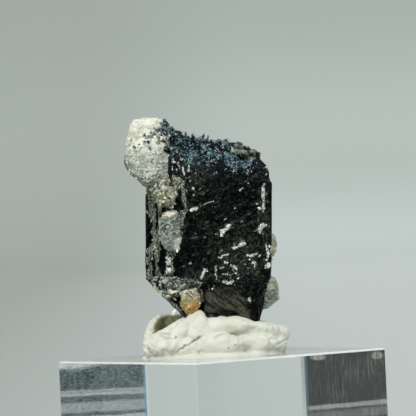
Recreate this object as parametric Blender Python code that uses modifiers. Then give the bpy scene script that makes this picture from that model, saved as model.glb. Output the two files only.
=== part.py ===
"""Fluorite with schorl: a stubby black tourmaline crystal carrying pale fluorite
and feldspar, pressed into a lump of white mineral tack on a clear square block.

Metres, +Z up, the block's underside on Z = 0. The front looks along +Y.
The minerals and the tack are drawn in the crystal's own frame, in millimetres,
and hang on an empty that leans as the crystal leans in its bed.
"""

import math
import random
from typing import NamedTuple

import bmesh
import bpy
from mathutils import Euler, Matrix, Vector, noise

MM = 0.001
GAP = 0.3
NEIGHBOUR = 8.0

BLOCK_SIDE = 38.1
BLOCK_HEIGHT = 19.05
BLOCK_EDGE = 0.35
BLOCK_YAW = math.radians(36.3)

CRYSTAL_LEAN = math.radians(2.8)
CRYSTAL_FOOT = Vector((-0.6, 0.0, BLOCK_HEIGHT - 0.4))

CRYSTAL_BOTTOM = 4.4
CRYSTAL_TOP = 38.4
CRYSTAL_SIDES = 54
CRYSTAL_RINGS = 13
STRIATION = 0.2
ROUGHNESS = 0.22

# The crystal's section, seen from above, from the left edge round by the front.
SECTION = (
    (-11.7, 1.6),
    (-8.9, -1.6),
    (-6.0, -5.0),
    (0.8, -5.5),
    (7.3, -4.6),
    (8.9, -1.8),
    (8.3, 3.0),
    (5.0, 7.2),
    (-2.5, 8.3),
    (-9.3, 5.6),
)
SECTION_LEFT = -11.7
SECTION_RIGHT = 8.9

# How far the crystal reaches to each side at each height: (height, left, right).
REACH = (
    (4.4, -8.8, 7.3),
    (9.6, -11.2, 7.6),
    (12.6, -11.8, 8.6),
    (23.8, -11.6, 8.9),
    (27.5, -11.3, 8.8),
    (29.6, -10.6, 8.6),
    (31.4, -9.8, 8.0),
    (38.4, -9.2, 7.4),
)

# Flat faces that end the crystal: (a point on the face, its outward direction).
END_FACES = (
    ((0.0, -5.2, 30.9), (0.08, -0.55, 0.83)),
    ((0.0, 1.4, 34.9), (0.12, 0.48, 0.87)),
    ((7.0, 0.0, 32.9), (0.78, 0.05, 0.62)),
    ((-5.3, 0.0, 6.6), (-0.70, -0.12, -0.70)),
    ((0.0, 0.0, 4.7), (0.04, 0.0, -1.0)),
    ((4.0, 8.0, 7.4), (0.25, 0.62, -0.74)),
)

# Smaller crystals grown side by side with the main one: x, y, low end, top, radius.
COLUMNS = (
    (-8.3, 2.2, 24.0, 37.3, 1.35),
    (-6.9, 0.6, 22.0, 36.5, 1.25),
    (-5.6, 1.9, 21.0, 35.9, 1.30),
    (-5.9, -2.0, 19.0, 34.0, 1.05),
    (-7.2, -2.9, 23.0, 32.8, 0.90),
    (-10.7, 0.9, 14.2, 26.6, 0.95),
    (-9.4, -0.6, 13.6, 24.2, 0.85),
    (-6.3, -4.2, 14.0, 19.0, 0.80),
    (7.8, -3.2, 12.2, 28.9, 0.95),
    (7.6, 1.9, 19.5, 30.3, 1.05),
    (6.4, 5.2, 9.0, 28.6, 1.35),
    (1.6, 7.4, 8.6, 31.4, 1.60),
    (-3.0, 7.8, 9.4, 29.2, 1.20),
    (-8.6, 5.2, 12.8, 33.4, 1.50),
)
COLUMN_SIDES = 7

# The dished break low on the front: centre x and z, half sizes, depth.
DISH = (1.8, 7.0, 5.8, 4.8, 0.9)

NEEDLES = 54
NEEDLE_SIDES = 4
NEEDLE_LONG = (1.3, 2.1)
NEEDLE_THICK = (0.20, 0.34)
NEEDLE_SPREAD = 0.55


class Lump(NamedTuple):
    """A rounded crystal or a crust, drawn in the crystal's frame.

    square is 1 for a round form and less for a boxy one. Each cut is a flat face:
    its outward direction and its distance from the centre.
    """

    name: str
    finish: str
    centre: tuple
    half: tuple
    rough: float
    seed: int
    square: float = 1.0
    cuts: tuple = ()


LUMPS = (
    Lump(
        "fluorite_upper",
        "fluorite",
        centre=(-11.4, -0.9, 31.5),
        half=(3.7, 3.5, 4.1),
        rough=0.2,
        seed=11,
        square=0.85,
        cuts=(
            ((-0.55, -0.60, -0.58), 3.25),
            ((0.10, -0.98, 0.10), 3.15),
            ((-0.90, -0.10, 0.42), 3.5),
            ((-0.20, -0.30, -0.93), 3.8),
        ),
    ),
    Lump(
        "feldspar_cap",
        "feldspar",
        centre=(-11.3, 0.8, 35.7),
        half=(3.5, 3.6, 3.3),
        rough=0.42,
        seed=5,
        square=0.7,
        cuts=(
            ((-0.10, -0.10, 0.99), 3.1),
            ((-0.82, -0.15, 0.55), 3.4),
            ((0.10, -0.97, 0.20), 3.3),
            ((0.75, -0.30, 0.60), 3.2),
        ),
    ),
    Lump(
        "fluorite_middle",
        "fluorite",
        centre=(-7.5, -4.1, 20.5),
        half=(1.8, 1.4, 3.1),
        rough=0.16,
        seed=23,
        square=0.8,
        cuts=(((-0.30, -0.95, 0.05), 1.2), ((0.80, -0.55, 0.20), 1.5)),
    ),
    Lump(
        "fluorite_stained",
        "stained_fluorite",
        centre=(-4.0, -4.9, 9.3),
        half=(1.8, 1.6, 2.5),
        rough=0.14,
        seed=31,
        square=0.85,
        cuts=(((0.10, -0.97, 0.20), 1.35), ((-0.70, -0.40, -0.60), 1.8)),
    ),
    Lump(
        "fluorite_right",
        "clear_fluorite",
        centre=(8.2, 0.6, 10.5),
        half=(2.1, 2.0, 2.6),
        rough=0.08,
        seed=41,
        square=0.85,
        cuts=(
            ((0.90, -0.20, 0.38), 2.0),
            ((0.50, -0.80, -0.30), 1.8),
            ((0.75, -0.10, -0.65), 2.1),
            ((0.20, 0.30, 0.93), 2.3),
        ),
    ),
    Lump(
        "hyalite_crust",
        "stained_fluorite",
        centre=(8.8, -0.2, 17.7),
        half=(1.0, 1.6, 2.5),
        rough=0.18,
        seed=53,
    ),
    Lump(
        "feldspar_chip",
        "feldspar",
        centre=(4.9, -1.0, 33.3),
        half=(2.5, 2.0, 1.7),
        rough=0.4,
        seed=61,
        square=0.75,
        cuts=(((-0.10, -0.80, 0.60), 1.6), ((0.60, -0.20, 0.77), 1.7)),
    ),
    Lump(
        "matrix_upper",
        "matrix",
        centre=(-8.3, -2.6, 26.0),
        half=(2.7, 1.7, 2.9),
        rough=0.34,
        seed=71,
        cuts=(((-0.70, -0.70, 0.10), 1.75),),
    ),
    Lump(
        "matrix_lower",
        "matrix",
        centre=(-7.3, -3.0, 11.4),
        half=(4.1, 2.0, 2.1),
        rough=0.36,
        seed=83,
        cuts=(((-0.45, -0.75, -0.48), 2.0), ((0.10, -0.98, 0.15), 1.9)),
    ),
)

# Tack pressed into pads and balls: centre, half sizes.
TACK_PADS = (
    ((-0.2, 0.6, 1.5), (11.6, 9.2, 2.5)),
    ((-1.8, -3.6, 3.0), (5.8, 4.2, 3.4)),
    ((-2.7, -5.3, 4.7), (2.7, 1.5, 3.1)),
    ((-10.0, -2.6, 2.4), (2.2, 3.6, 2.7)),
    ((-9.2, 1.6, 3.6), (2.6, 1.6, 3.2)),
    ((1.4, -6.0, 2.5), (5.6, 2.6, 2.7)),
    ((7.2, -2.6, 1.8), (4.6, 3.6, 1.9)),
    ((0.4, 7.0, 3.2), (7.0, 3.0, 3.6)),
    ((6.4, 3.6, 2.6), (4.2, 4.2, 3.0)),
)
# Tack rolled into ropes: the two ends and the radius at each.
TACK_ROPES = (
    ((-3.0, -5.6, 6.0), (-8.8, -5.6, 3.2), 1.25, 1.5),
    ((-10.9, -0.6, 3.6), (-9.4, 0.9, 6.0), 1.0, 0.8),
    ((-9.4, 0.9, 6.0), (-6.4, 1.2, 6.5), 0.8, 0.8),
    ((-1.6, -5.8, 5.4), (4.4, -5.5, 5.3), 1.3, 1.25),
    ((4.4, -5.5, 5.3), (10.2, -2.2, 4.4), 1.35, 1.45),
)
TACK_POCKET = ((-7.9, -1.9, 5.9), (2.2, 1.5, 1.9))
TACK_VOXEL = 0.55
TACK_TRIANGLES = 1900

# Base colour, roughness, and how much light passes through.
FINISHES = {
    "schorl": ((0.012, 0.013, 0.013), 0.35, 0.0),
    "fluorite": ((0.42, 0.46, 0.40), 0.45, 0.15),
    "clear_fluorite": ((0.40, 0.47, 0.39), 0.25, 0.6),
    "stained_fluorite": ((0.52, 0.40, 0.18), 0.35, 0.25),
    "feldspar": ((0.66, 0.65, 0.55), 0.7, 0.0),
    "matrix": ((0.30, 0.31, 0.24), 0.65, 0.0),
    "tack": ((0.76, 0.77, 0.66), 0.6, 0.0),
    "acrylic": ((0.93, 0.96, 0.95), 0.03, 1.0),
}


def clear_scene():
    """Remove whatever the file holds."""
    for obj in list(bpy.data.objects):
        bpy.data.objects.remove(obj)


def new_collection(name):
    """Return a new collection under the scene."""
    made = bpy.data.collections.new(name)
    bpy.context.scene.collection.children.link(made)
    return made


def new_material(name):
    """Return a Principled material for one of the finishes."""
    colour, roughness, see_through = FINISHES[name]
    made = bpy.data.materials.new(name)
    made.use_nodes = True
    shader = made.node_tree.nodes["Principled BSDF"]
    shader.inputs["Base Color"].default_value = (*colour, 1.0)
    shader.inputs["Roughness"].default_value = roughness
    shader.inputs["Transmission Weight"].default_value = see_through
    return made


def place(name, shape, collection, parent=None, finish=None):
    """Make an object from a bmesh drawn in millimetres, and free the bmesh."""
    bmesh.ops.scale(shape, vec=Vector((MM, MM, MM)), verts=shape.verts)
    mesh = bpy.data.meshes.new(name)
    shape.to_mesh(mesh)
    shape.free()
    obj = bpy.data.objects.new(name, mesh)
    collection.objects.link(obj)
    obj.parent = parent
    if finish:
        mesh.materials.append(finish)
    else:
        obj.hide_render = True
        obj.display_type = "WIRE"
    return obj


def along(table, at, column):
    """Read a column of a table of rows by straight lines between them."""
    if at <= table[0][0]:
        return table[0][column]
    for low, high in zip(table, table[1:]):
        if at <= high[0]:
            share = (at - low[0]) / (high[0] - low[0])
            return low[column] + share * (high[column] - low[column])
    return table[-1][column]


def section_point(share):
    """Return a point of the crystal's section and its outward direction.

    share runs from 0 to 1 round the section, starting at the left edge.
    """
    corners = [Vector(corner) for corner in SECTION]
    sides = list(zip(corners, corners[1:] + corners[:1]))
    left = share * sum((b - a).length for a, b in sides)
    for a, b in sides:
        side = b - a
        if left <= side.length:
            break
        left -= side.length
    outward = Vector((side.y, -side.x)).normalized()
    return a + side.normalized() * left, outward


def is_rough(share, height):
    """Tell whether this spot lies on the broken front face, which has no striations."""
    return 0.215 < share < 0.47 or height < 12.0


def ridge(share):
    """Return how far the striations stand out at this share of the way round."""
    return STRIATION * noise.noise(Vector((share * 71.0, 3.7, 1.9))) * 2.0


def dish(x, height):
    """Return how far the dished break on the front goes in."""
    centre_x, centre_z, half_x, half_z, depth = DISH
    away = math.hypot((x - centre_x) / half_x, (height - centre_z) / half_z)
    return depth * max(0.0, 1.0 - away * away)


def crystal_shape(grow=0.0, plain=False):
    """Build the main crystal in millimetres.

    grow moves every side outwards, and plain leaves out the fine relief.
    """
    sides = CRYSTAL_SIDES // 2 if plain else CRYSTAL_SIDES
    rings = CRYSTAL_RINGS // 2 if plain else CRYSTAL_RINGS
    shape = bmesh.new()
    bmesh.ops.create_cone(
        shape, cap_ends=True, segments=sides, radius1=1.0, radius2=1.0, depth=1.0
    )
    upright = [e for e in shape.edges if abs(e.verts[0].co.z - e.verts[1].co.z) > 0.5]
    bmesh.ops.subdivide_edges(shape, edges=upright, cuts=rings - 1, use_grid_fill=True)
    for vert in shape.verts:
        turn = math.atan2(vert.co.y, vert.co.x)
        share = ((turn - math.pi) / math.tau) % 1.0
        height = CRYSTAL_BOTTOM + (vert.co.z + 0.5) * (CRYSTAL_TOP - CRYSTAL_BOTTOM)
        spot, outward = section_point(share)
        across = (spot.x - SECTION_LEFT) / (SECTION_RIGHT - SECTION_LEFT)
        low, high = along(REACH, height, 1), along(REACH, height, 2)
        spot.x = low + across * (high - low)
        relief = grow
        if not plain:
            point = Vector((spot.x, spot.y, height))
            if is_rough(share, height):
                relief += ROUGHNESS * noise.noise(point * 0.9)
                relief += ROUGHNESS * 0.7 * noise.noise(point * 0.35)
            else:
                relief += ridge(share)
                relief += 0.12 * noise.noise(point * Vector((0.9, 0.9, 0.15)))
        if outward.y < -0.7:
            relief -= dish(spot.x, height)
        spot += outward * relief
        vert.co = Vector((spot.x, spot.y, height))
    for point, direction in END_FACES:
        cut(shape, Vector(point) + Vector(direction).normalized() * grow, direction)
    return shape


def cut(shape, point, direction):
    """Slice a closed bmesh by a plane and close it with one flat face."""
    everything = shape.verts[:] + shape.edges[:] + shape.faces[:]
    sliced = bmesh.ops.bisect_plane(
        shape,
        geom=everything,
        plane_co=point,
        plane_no=Vector(direction).normalized(),
        clear_outer=True,
        dist=1e-5,
    )
    rim = [e for e in sliced["geom_cut"] if isinstance(e, bmesh.types.BMEdge)]
    if rim:
        bmesh.ops.contextual_create(shape, geom=rim)


def column_shape(number, grow=0.0):
    """Build one of the smaller crystals beside the main one."""
    x, y, low, top, radius = COLUMNS[number]
    dice = random.Random(100 + number)
    shape = bmesh.new()
    bmesh.ops.create_cone(
        shape,
        cap_ends=True,
        segments=COLUMN_SIDES,
        radius1=radius + grow,
        radius2=(radius + grow) * 0.96,
        depth=top - low + 2 * grow,
        matrix=Matrix.Translation((x, y, (low + top) / 2))
        @ Matrix.Rotation(dice.uniform(0, math.tau), 4, "Z"),
    )
    slope = Vector((dice.uniform(-0.3, 0.3), -0.45, 1.0))
    cut(shape, Vector((x, y, top - 0.25 + grow)), slope)
    return shape


def is_clear_of_lumps(spot):
    """Tell whether a needle rooted here misses every crystal and crust of LUMPS."""
    for lump in LUMPS:
        away = spot - Vector(lump.centre)
        reach = Vector(half + NEEDLE_LONG[1] for half in lump.half)
        if sum((a / r) ** 2 for a, r in zip(away, reach)) < 1.0:
            return False
    return True


def needle_root(number, dice):
    """Pick where a needle stands: on the crystal's upper face or on a column."""
    if number % 6 == 0:
        x, y, _, top, _ = COLUMNS[number // 6 % 4]
        return Vector((x + dice.uniform(-0.7, 0.7), y - 0.3, top - 0.3))
    face_point, face_out = (Vector(v) for v in END_FACES[0])
    x = -4.6 + 11.0 * (number + dice.random()) / NEEDLES
    y = dice.uniform(-4.7, 1.2)
    fall = face_out.x * (x - face_point.x) + face_out.y * (y - face_point.y)
    return Vector((x, y, face_point.z - fall / face_out.z + 0.15))


def needle_shapes():
    """Build the short dark blue needles that fur the crystal's upper end."""
    dice = random.Random(7)
    shape = bmesh.new()
    for number in range(NEEDLES):
        root = needle_root(number, dice)
        lean = Euler(
            (
                0.35 + dice.uniform(-NEEDLE_SPREAD, NEEDLE_SPREAD),
                dice.uniform(-NEEDLE_SPREAD, NEEDLE_SPREAD),
                dice.uniform(0, math.tau),
            )
        )
        thick = dice.uniform(*NEEDLE_THICK)
        if not is_clear_of_lumps(root):
            continue
        bmesh.ops.create_cone(
            shape,
            cap_ends=True,
            segments=NEEDLE_SIDES,
            radius1=thick,
            radius2=thick * 0.55,
            depth=dice.uniform(*NEEDLE_LONG),
            matrix=Matrix.Translation(root) @ lean.to_matrix().to_4x4(),
        )
    return shape


def lump_shape(lump, grow=0.0):
    """Build a rounded crystal with a few flat faces, in millimetres."""
    shape = bmesh.new()
    bmesh.ops.create_icosphere(shape, subdivisions=3, radius=1.0)
    wander = Vector((1.7, 0.6, 2.3)) * lump.seed
    for vert in shape.verts:
        out = vert.co.normalized()
        boxy = (math.copysign(abs(o) ** lump.square, o) for o in out)
        spot = Vector(b * h for b, h in zip(boxy, lump.half))
        spot += out * lump.rough * 2.0 * noise.noise(spot * 0.75 + wander)
        for direction, distance in lump.cuts:
            flat = Vector(direction).normalized()
            beyond = spot.dot(flat) - distance
            if beyond > 0:
                spot -= flat * beyond * 0.92
        vert.co = Vector(lump.centre) + spot + out * grow
    return shape


def tack_shape():
    """Build the pads and ropes that the lump of tack is pressed together from."""
    shape = bmesh.new()
    for centre, half in TACK_PADS:
        pad = bmesh.ops.create_icosphere(shape, subdivisions=3, radius=1.0)
        bmesh.ops.scale(shape, vec=Vector(half), verts=pad["verts"])
        bmesh.ops.translate(shape, vec=Vector(centre), verts=pad["verts"])
    for start, end, radius_start, radius_end in TACK_ROPES:
        start, end = Vector(start), Vector(end)
        run = end - start
        turn = run.to_track_quat("Z", "Y").to_matrix().to_4x4()
        bmesh.ops.create_cone(
            shape,
            cap_ends=True,
            segments=20,
            radius1=radius_start,
            radius2=radius_end,
            depth=run.length,
            matrix=Matrix.Translation((start + end) / 2) @ turn,
        )
        for spot, radius in ((start, radius_start), (end, radius_end)):
            bmesh.ops.create_icosphere(
                shape, subdivisions=2, radius=radius, matrix=Matrix.Translation(spot)
            )
    return shape


def boolean(obj, other, operation):
    """Add an exact Boolean modifier."""
    modifier = obj.modifiers.new(f"{operation.lower()} {other.name}", "BOOLEAN")
    modifier.operation = operation
    modifier.solver = "EXACT"
    modifier.use_self = operation == "UNION"
    modifier.object = other


def build_crystal(specimen, cutters, lean, finish):
    """Build the schorl: main crystal, side columns and needles as one solid."""
    schorl = place("schorl_crystal", crystal_shape(), specimen, lean, finish)
    for number in range(len(COLUMNS)):
        column = place(f"column_{number:02d}", column_shape(number), cutters, lean)
        boolean(schorl, column, "UNION")
    needles = place("needles", needle_shapes(), cutters, lean)
    boolean(schorl, needles, "UNION")
    return schorl


def build_lumps(specimen, cutters, lean, finishes, schorl):
    """Build the crystals and crusts, each seated in a pocket of its neighbours.

    Returns the pocket of each lump by the lump's name.
    """
    built = []
    pockets = {}
    for lump in LUMPS:
        obj = place(lump.name, lump_shape(lump), specimen, lean, finishes[lump.finish])
        pocket = place(f"pocket_{lump.name}", lump_shape(lump, GAP), cutters, lean)
        boolean(schorl, pocket, "DIFFERENCE")
        for earlier in built:
            if (Vector(lump.centre) - Vector(earlier.centre)).length < NEIGHBOUR:
                boolean(obj, pockets[earlier.name], "DIFFERENCE")
        built.append(lump)
        pockets[lump.name] = pocket
    return pockets


def build_tack(specimen, cutters, lean, finish, pockets):
    """Build the lump of tack, flat below, with a socket for the crystal's foot."""
    shape = tack_shape()
    tack = place("putty", shape, specimen, lean, finish)
    remesh = tack.modifiers.new("press together", "REMESH")
    remesh.mode = "VOXEL"
    remesh.voxel_size = TACK_VOXEL * MM
    smooth = tack.modifiers.new("thumb smooth", "SMOOTH")
    smooth.factor = 0.5
    smooth.iterations = 6
    graph = bpy.context.evaluated_depsgraph_get()
    pressed = bpy.data.meshes.new_from_object(tack.evaluated_get(graph))
    tack.modifiers.clear()
    tack.data = pressed
    tack.data.materials.clear()
    tack.data.materials.append(finish)
    shape = bmesh.new()
    shape.from_mesh(pressed)
    upright = lean.matrix_world.to_3x3().inverted() @ Vector((0, 0, 1))
    rest = Vector((0, 0, (BLOCK_HEIGHT + GAP) * MM))
    cut(shape, lean.matrix_world.inverted() @ rest, -upright)
    shape.to_mesh(pressed)
    shape.free()
    thin = tack.modifiers.new("fewer faces", "DECIMATE")
    thin.ratio = min(1.0, TACK_TRIANGLES / (2 * len(pressed.polygons)))
    hollow = bmesh.new()
    centre, half = TACK_POCKET
    bmesh.ops.create_icosphere(hollow, subdivisions=3, radius=1.0)
    bmesh.ops.scale(hollow, vec=Vector(half), verts=hollow.verts)
    bmesh.ops.translate(hollow, vec=Vector(centre), verts=hollow.verts)
    boolean(tack, place("curl_hollow", hollow, cutters, lean), "DIFFERENCE")
    socket = place("socket", crystal_shape(GAP + STRIATION, plain=True), cutters, lean)
    boolean(tack, socket, "DIFFERENCE")
    for name in ("fluorite_stained", "fluorite_right"):
        boolean(tack, pockets[name], "DIFFERENCE")
    return tack


def build_block(specimen, finish):
    """Build the clear square block with its edges just broken."""
    shape = bmesh.new()
    bmesh.ops.create_cube(shape, size=1.0)
    bmesh.ops.scale(
        shape, vec=Vector((BLOCK_SIDE, BLOCK_SIDE, BLOCK_HEIGHT)), verts=shape.verts
    )
    block = place("display_block", shape, specimen, None, finish)
    block.location = (0, 0, BLOCK_HEIGHT / 2 * MM)
    block.rotation_euler = (0, 0, BLOCK_YAW)
    edge = block.modifiers.new("broken edges", "BEVEL")
    edge.width = BLOCK_EDGE * MM
    edge.segments = 1
    return block


def main():
    """Build the specimen, its tack and its block."""
    clear_scene()
    specimen = new_collection("fluorite_with_schorl")
    cutters = new_collection("cutters")
    finishes = {name: new_material(name) for name in FINISHES}
    lean = bpy.data.objects.new("crystal_frame", None)
    specimen.objects.link(lean)
    lean.location = CRYSTAL_FOOT * MM
    lean.rotation_euler = (0, CRYSTAL_LEAN, 0)
    bpy.context.view_layer.update()
    schorl = build_crystal(specimen, cutters, lean, finishes["schorl"])
    pockets = build_lumps(specimen, cutters, lean, finishes, schorl)
    build_tack(specimen, cutters, lean, finishes["tack"], pockets)
    build_block(specimen, finishes["acrylic"])


main()
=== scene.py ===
"""Looks for a fluorite with schorl specimen: a black tourmaline crystal with pale
fluorite and feldspar, bedded in white mineral tack on a clear block.

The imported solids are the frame. Each stone is a copy of its solid that is cut into
fine faces, carved with noise in the crystal's own leaning frame, in millimetres,
and painted with masks that its finish reads.
"""

import logging
import math
import random
from dataclasses import dataclass, field, replace
from enum import Enum
from typing import Any, Optional, Protocol, Sequence, Union

import bmesh
import bpy
import numpy as np
from mathutils import Euler, Matrix, Vector, noise
from mathutils.bvhtree import BVHTree


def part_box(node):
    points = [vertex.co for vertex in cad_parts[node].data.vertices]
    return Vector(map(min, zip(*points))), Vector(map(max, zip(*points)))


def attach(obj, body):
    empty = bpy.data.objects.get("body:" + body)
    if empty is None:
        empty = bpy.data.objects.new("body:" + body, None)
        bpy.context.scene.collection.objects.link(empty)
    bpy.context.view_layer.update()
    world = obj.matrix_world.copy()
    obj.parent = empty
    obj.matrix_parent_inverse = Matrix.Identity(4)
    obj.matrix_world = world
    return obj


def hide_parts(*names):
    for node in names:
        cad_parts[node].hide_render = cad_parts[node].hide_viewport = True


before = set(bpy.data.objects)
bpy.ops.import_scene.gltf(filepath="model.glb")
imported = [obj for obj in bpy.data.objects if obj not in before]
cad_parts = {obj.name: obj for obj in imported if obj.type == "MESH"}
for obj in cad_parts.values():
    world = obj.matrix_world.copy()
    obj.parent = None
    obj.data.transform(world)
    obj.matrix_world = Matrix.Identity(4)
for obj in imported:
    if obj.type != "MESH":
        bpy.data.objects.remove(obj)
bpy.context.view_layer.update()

LOG = logging.getLogger("specimen")

MM = 0.001
BLOCK_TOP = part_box("display_block")[1].z / MM
CRYSTAL_LEAN = math.radians(2.8)
CRYSTAL_FOOT = Vector((-0.6, 0.0, BLOCK_TOP - 0.4))
LEANING = Matrix.Scale(MM, 4) @ Matrix.Translation(CRYSTAL_FOOT) @ Matrix.Rotation(CRYSTAL_LEAN, 4, "Y")
NOISE_SEED = 4
SEED_STEP = 17.31
NOISE_GAIN = 1.6

Colour = tuple[float, float, float]
Triple = tuple[float, float, float]
Span = tuple[float, float]
Point = tuple[float, float]
Line = tuple[Point, Point]
PerMm = Union[float, Triple]
Amount = Union["Value", float]


class Slot(Enum):
    """The record's material slots."""

    SCHORL = "schorl"
    FELDSPAR = "feldspar"
    FLUORITE = "fluorite"
    STAINED = "stained_fluorite"
    CLEAR = "clear_fluorite"
    MATRIX = "matrix"
    TACK = "tack"
    ACRYLIC = "acrylic"


# Noise on points


def rise(values: np.ndarray, low: float, high: float) -> np.ndarray:
    """Rise smoothly from 0 at low to 1 at high."""
    share = np.clip((values - low) / (high - low), 0.0, 1.0)
    return share * share * (3.0 - 2.0 * share)


def in_pattern(points: np.ndarray, per_mm: PerMm, seed: int) -> np.ndarray:
    """Scale points to a pattern's own unit, on the stretch of it that the seed picks."""
    return points * np.asarray(per_mm) + seed * SEED_STEP


def wobble(points: np.ndarray, per_mm: PerMm, seed: int) -> np.ndarray:
    """Read smooth noise at each point.

    Args:
        points: Points in millimetres, one a row.
        per_mm: Bumps in a millimetre, the same each way or one number an axis.
        seed: Picks another stretch of the same noise.

    Returns:
        Numbers from about -1 to 1.
    """
    return np.array([noise.noise(spot) for spot in in_pattern(points, per_mm, seed).tolist()]) * NOISE_GAIN


def grains(points: np.ndarray, per_mm: PerMm, seed: int) -> tuple[np.ndarray, np.ndarray]:
    """Return the way to the nearest rounded grain's middle, and how much further the next is, in grains."""
    spots = in_pattern(points, per_mm, seed)
    found = np.array([noise.voronoi(spot)[0] for spot in spots.tolist()])
    return found[:, 0], found[:, 1] - found[:, 0]


def facets(points: np.ndarray, per_mm: PerMm, seed: int) -> np.ndarray:
    """Return a relief of flat chips, each a tilted plane of its own, from about -0.5 to 0.5."""
    spots = in_pattern(points, per_mm, seed)
    middles = np.array([noise.voronoi(spot)[1][0] for spot in spots.tolist()])
    slopes = np.array([noise.cell_vector(Vector(middle) * 9.7) for middle in middles.tolist()])
    return np.sum((spots - middles) * (slopes * 2.0 - 1.0), axis=1)


# Fine meshes


def linked(name: str, data: bpy.types.ID) -> bpy.types.Object:
    """Return a new object in the scene that holds this mesh, light or camera."""
    made = bpy.data.objects.new(name, data)
    bpy.context.scene.collection.objects.link(made)
    return made


def mesh_of(name: str, shape: bmesh.types.BMesh) -> bpy.types.Mesh:
    """Return a mesh of the shape, which is freed."""
    mesh = bpy.data.meshes.new(name)
    shape.to_mesh(mesh)
    shape.free()
    return mesh


def paint(mesh: bpy.types.Mesh, mask: str, values: np.ndarray) -> None:
    """Keep a number from 0 to 1 for each point, which a finish reads by the mask's name."""
    layer = mesh.attributes.get(mask) or mesh.attributes.new(mask, "FLOAT", "POINT")
    layer.data.foreach_set("value", np.clip(values, 0.0, 1.0).astype(np.float32))


def turned(degrees: float, axis: str) -> Matrix:
    """Return a turn about X, Y or Z."""
    return Matrix.Rotation(math.radians(degrees), 4, axis)


class Carving:
    """A fine mesh that is pushed and painted in the crystal's frame, in millimetres."""

    def __init__(
        self, name: str, coarse: bpy.types.Mesh, voxel: float, smooth: int, close: float = 0.0
    ) -> None:
        """Cut a closed mesh into small even faces.

        Args:
            name: The piece's name.
            coarse: The closed mesh, in the crystal's frame, in millimetres.
            voxel: The size of the small faces.
            smooth: How many times the corners are rounded off.
            close: How wide a gap is filled, by growing the mesh and shrinking it again.
        """
        self.name = name
        helper = linked(name, coarse)
        self._cut(helper, voxel)
        if close:
            grow = helper.modifiers.new("grow", "DISPLACE")
            grow.strength = close
            grow.mid_level = 0.0
            self._cut(helper, voxel)
        if smooth:
            rounding = helper.modifiers.new("round off", "SMOOTH")
            rounding.factor = 0.5
            rounding.iterations = smooth
        graph = bpy.context.evaluated_depsgraph_get()
        self.mesh = bpy.data.meshes.new_from_object(helper.evaluated_get(graph))
        bpy.data.objects.remove(helper)
        self.read()
        if close:
            self.push(np.full(len(self.points), -close))

    @staticmethod
    def _cut(helper: bpy.types.Object, voxel: float) -> None:
        """Add a remesh that cuts the surface into small even faces."""
        cut = helper.modifiers.new("cut fine", "REMESH")
        cut.mode = "VOXEL"
        cut.voxel_size = voxel

    def read(self) -> None:
        """Take the points and normals from the mesh."""
        count = len(self.mesh.vertices)
        flat = np.empty(count * 3, dtype=np.float32)
        self.mesh.vertices.foreach_get("co", flat)
        self.points = flat.reshape(-1, 3).astype(float)
        self.mesh.vertex_normals.foreach_get("vector", flat)
        self.normals = flat.reshape(-1, 3).astype(float)

    def write(self) -> None:
        """Put the points back in the mesh and read the new normals."""
        self.mesh.vertices.foreach_set("co", self.points.astype(np.float32).ravel())
        self.mesh.update()
        self.read()

    def push(self, amount: np.ndarray) -> None:
        """Move each point along its normal by so many millimetres."""
        self.points += self.normals * amount[:, None]
        self.write()

    def trim(self, lines: Sequence[Line]) -> None:
        """Grind off what lies right of some lines, each seen from the front and run along.

        Args:
            lines: Each line's two points (x, z), with the stone on the left.
        """
        for (x0, z0), (x1, z1) in lines:
            run = np.array([x1 - x0, z1 - z0]) / math.hypot(x1 - x0, z1 - z0)
            outward = np.array([run[1], 0.0, -run[0]])
            beyond = (self.points - np.array([x0, 0.0, z0])) @ outward
            uneven = 0.14 * wobble(self.points, 0.9, 45)
            self.points -= np.maximum(beyond + uneven, 0.0)[:, None] * outward
        self.write()

    def paint(self, masks: dict[str, np.ndarray]) -> None:
        """Paint the masks that the finish reads."""
        for mask, values in masks.items():
            paint(self.mesh, mask, values)

    def seat(self, ground: "Carving", reach: float, sink: float) -> None:
        """Draw the points near another stone on to it, so that no gap shows between.

        Args:
            ground: The stone that this one sits on.
            reach: How near a point has to be, in millimetres.
            sink: How far it then goes in.
        """
        tree = tree_of([ground])
        for number, point in enumerate(self.points):
            spot, _, _, away = tree.find_nearest(Vector(point), reach)
            if spot is None or away < 1e-6:
                continue
            towards = np.array(spot) - point
            pull = 1.0 - (away / reach) ** 4
            self.points[number] += towards * pull * (1.0 + sink / away)
        self.write()

    def piece(self, slot: Slot, finish: "Finish", replaced: Sequence[str]) -> None:
        """Put the mesh in place on the object, where it stands for some CAD nodes."""
        settle(self.name, self.mesh, finish, replaced)


def tree_of(grounds: Sequence[Carving]) -> BVHTree:
    """Return a search tree over the faces of some stones."""
    points, faces = [], []
    for ground in grounds:
        first = len(points)
        faces += [tuple(corner + first for corner in face.vertices) for face in ground.mesh.polygons]
        points += ground.points.tolist()
    return BVHTree.FromPolygons(points, faces)


def settle(
    name: str,
    mesh: bpy.types.Mesh,
    finish: "Finish",
    replaced: Sequence[str] = (),
    smooth: bool = True,
) -> None:
    """Make a piece from a mesh and let it ride.

    Args:
        name: The piece's name.
        mesh: The mesh in the crystal's frame, in millimetres.
        finish: The look.
        replaced: The CAD nodes that this piece stands for.
        smooth: Whether light runs smoothly over its faces.
    """
    mesh.transform(LEANING)
    mesh.name = name
    mesh.materials.clear()
    mesh.materials.append(finish.material())
    if smooth:
        mesh.shade_smooth()
    else:
        mesh.shade_flat()
    piece = linked(name, mesh)
    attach(piece, "root")
    if replaced:
        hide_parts(*replaced)
    LOG.info("%s: %d faces", name, len(mesh.polygons))


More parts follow.
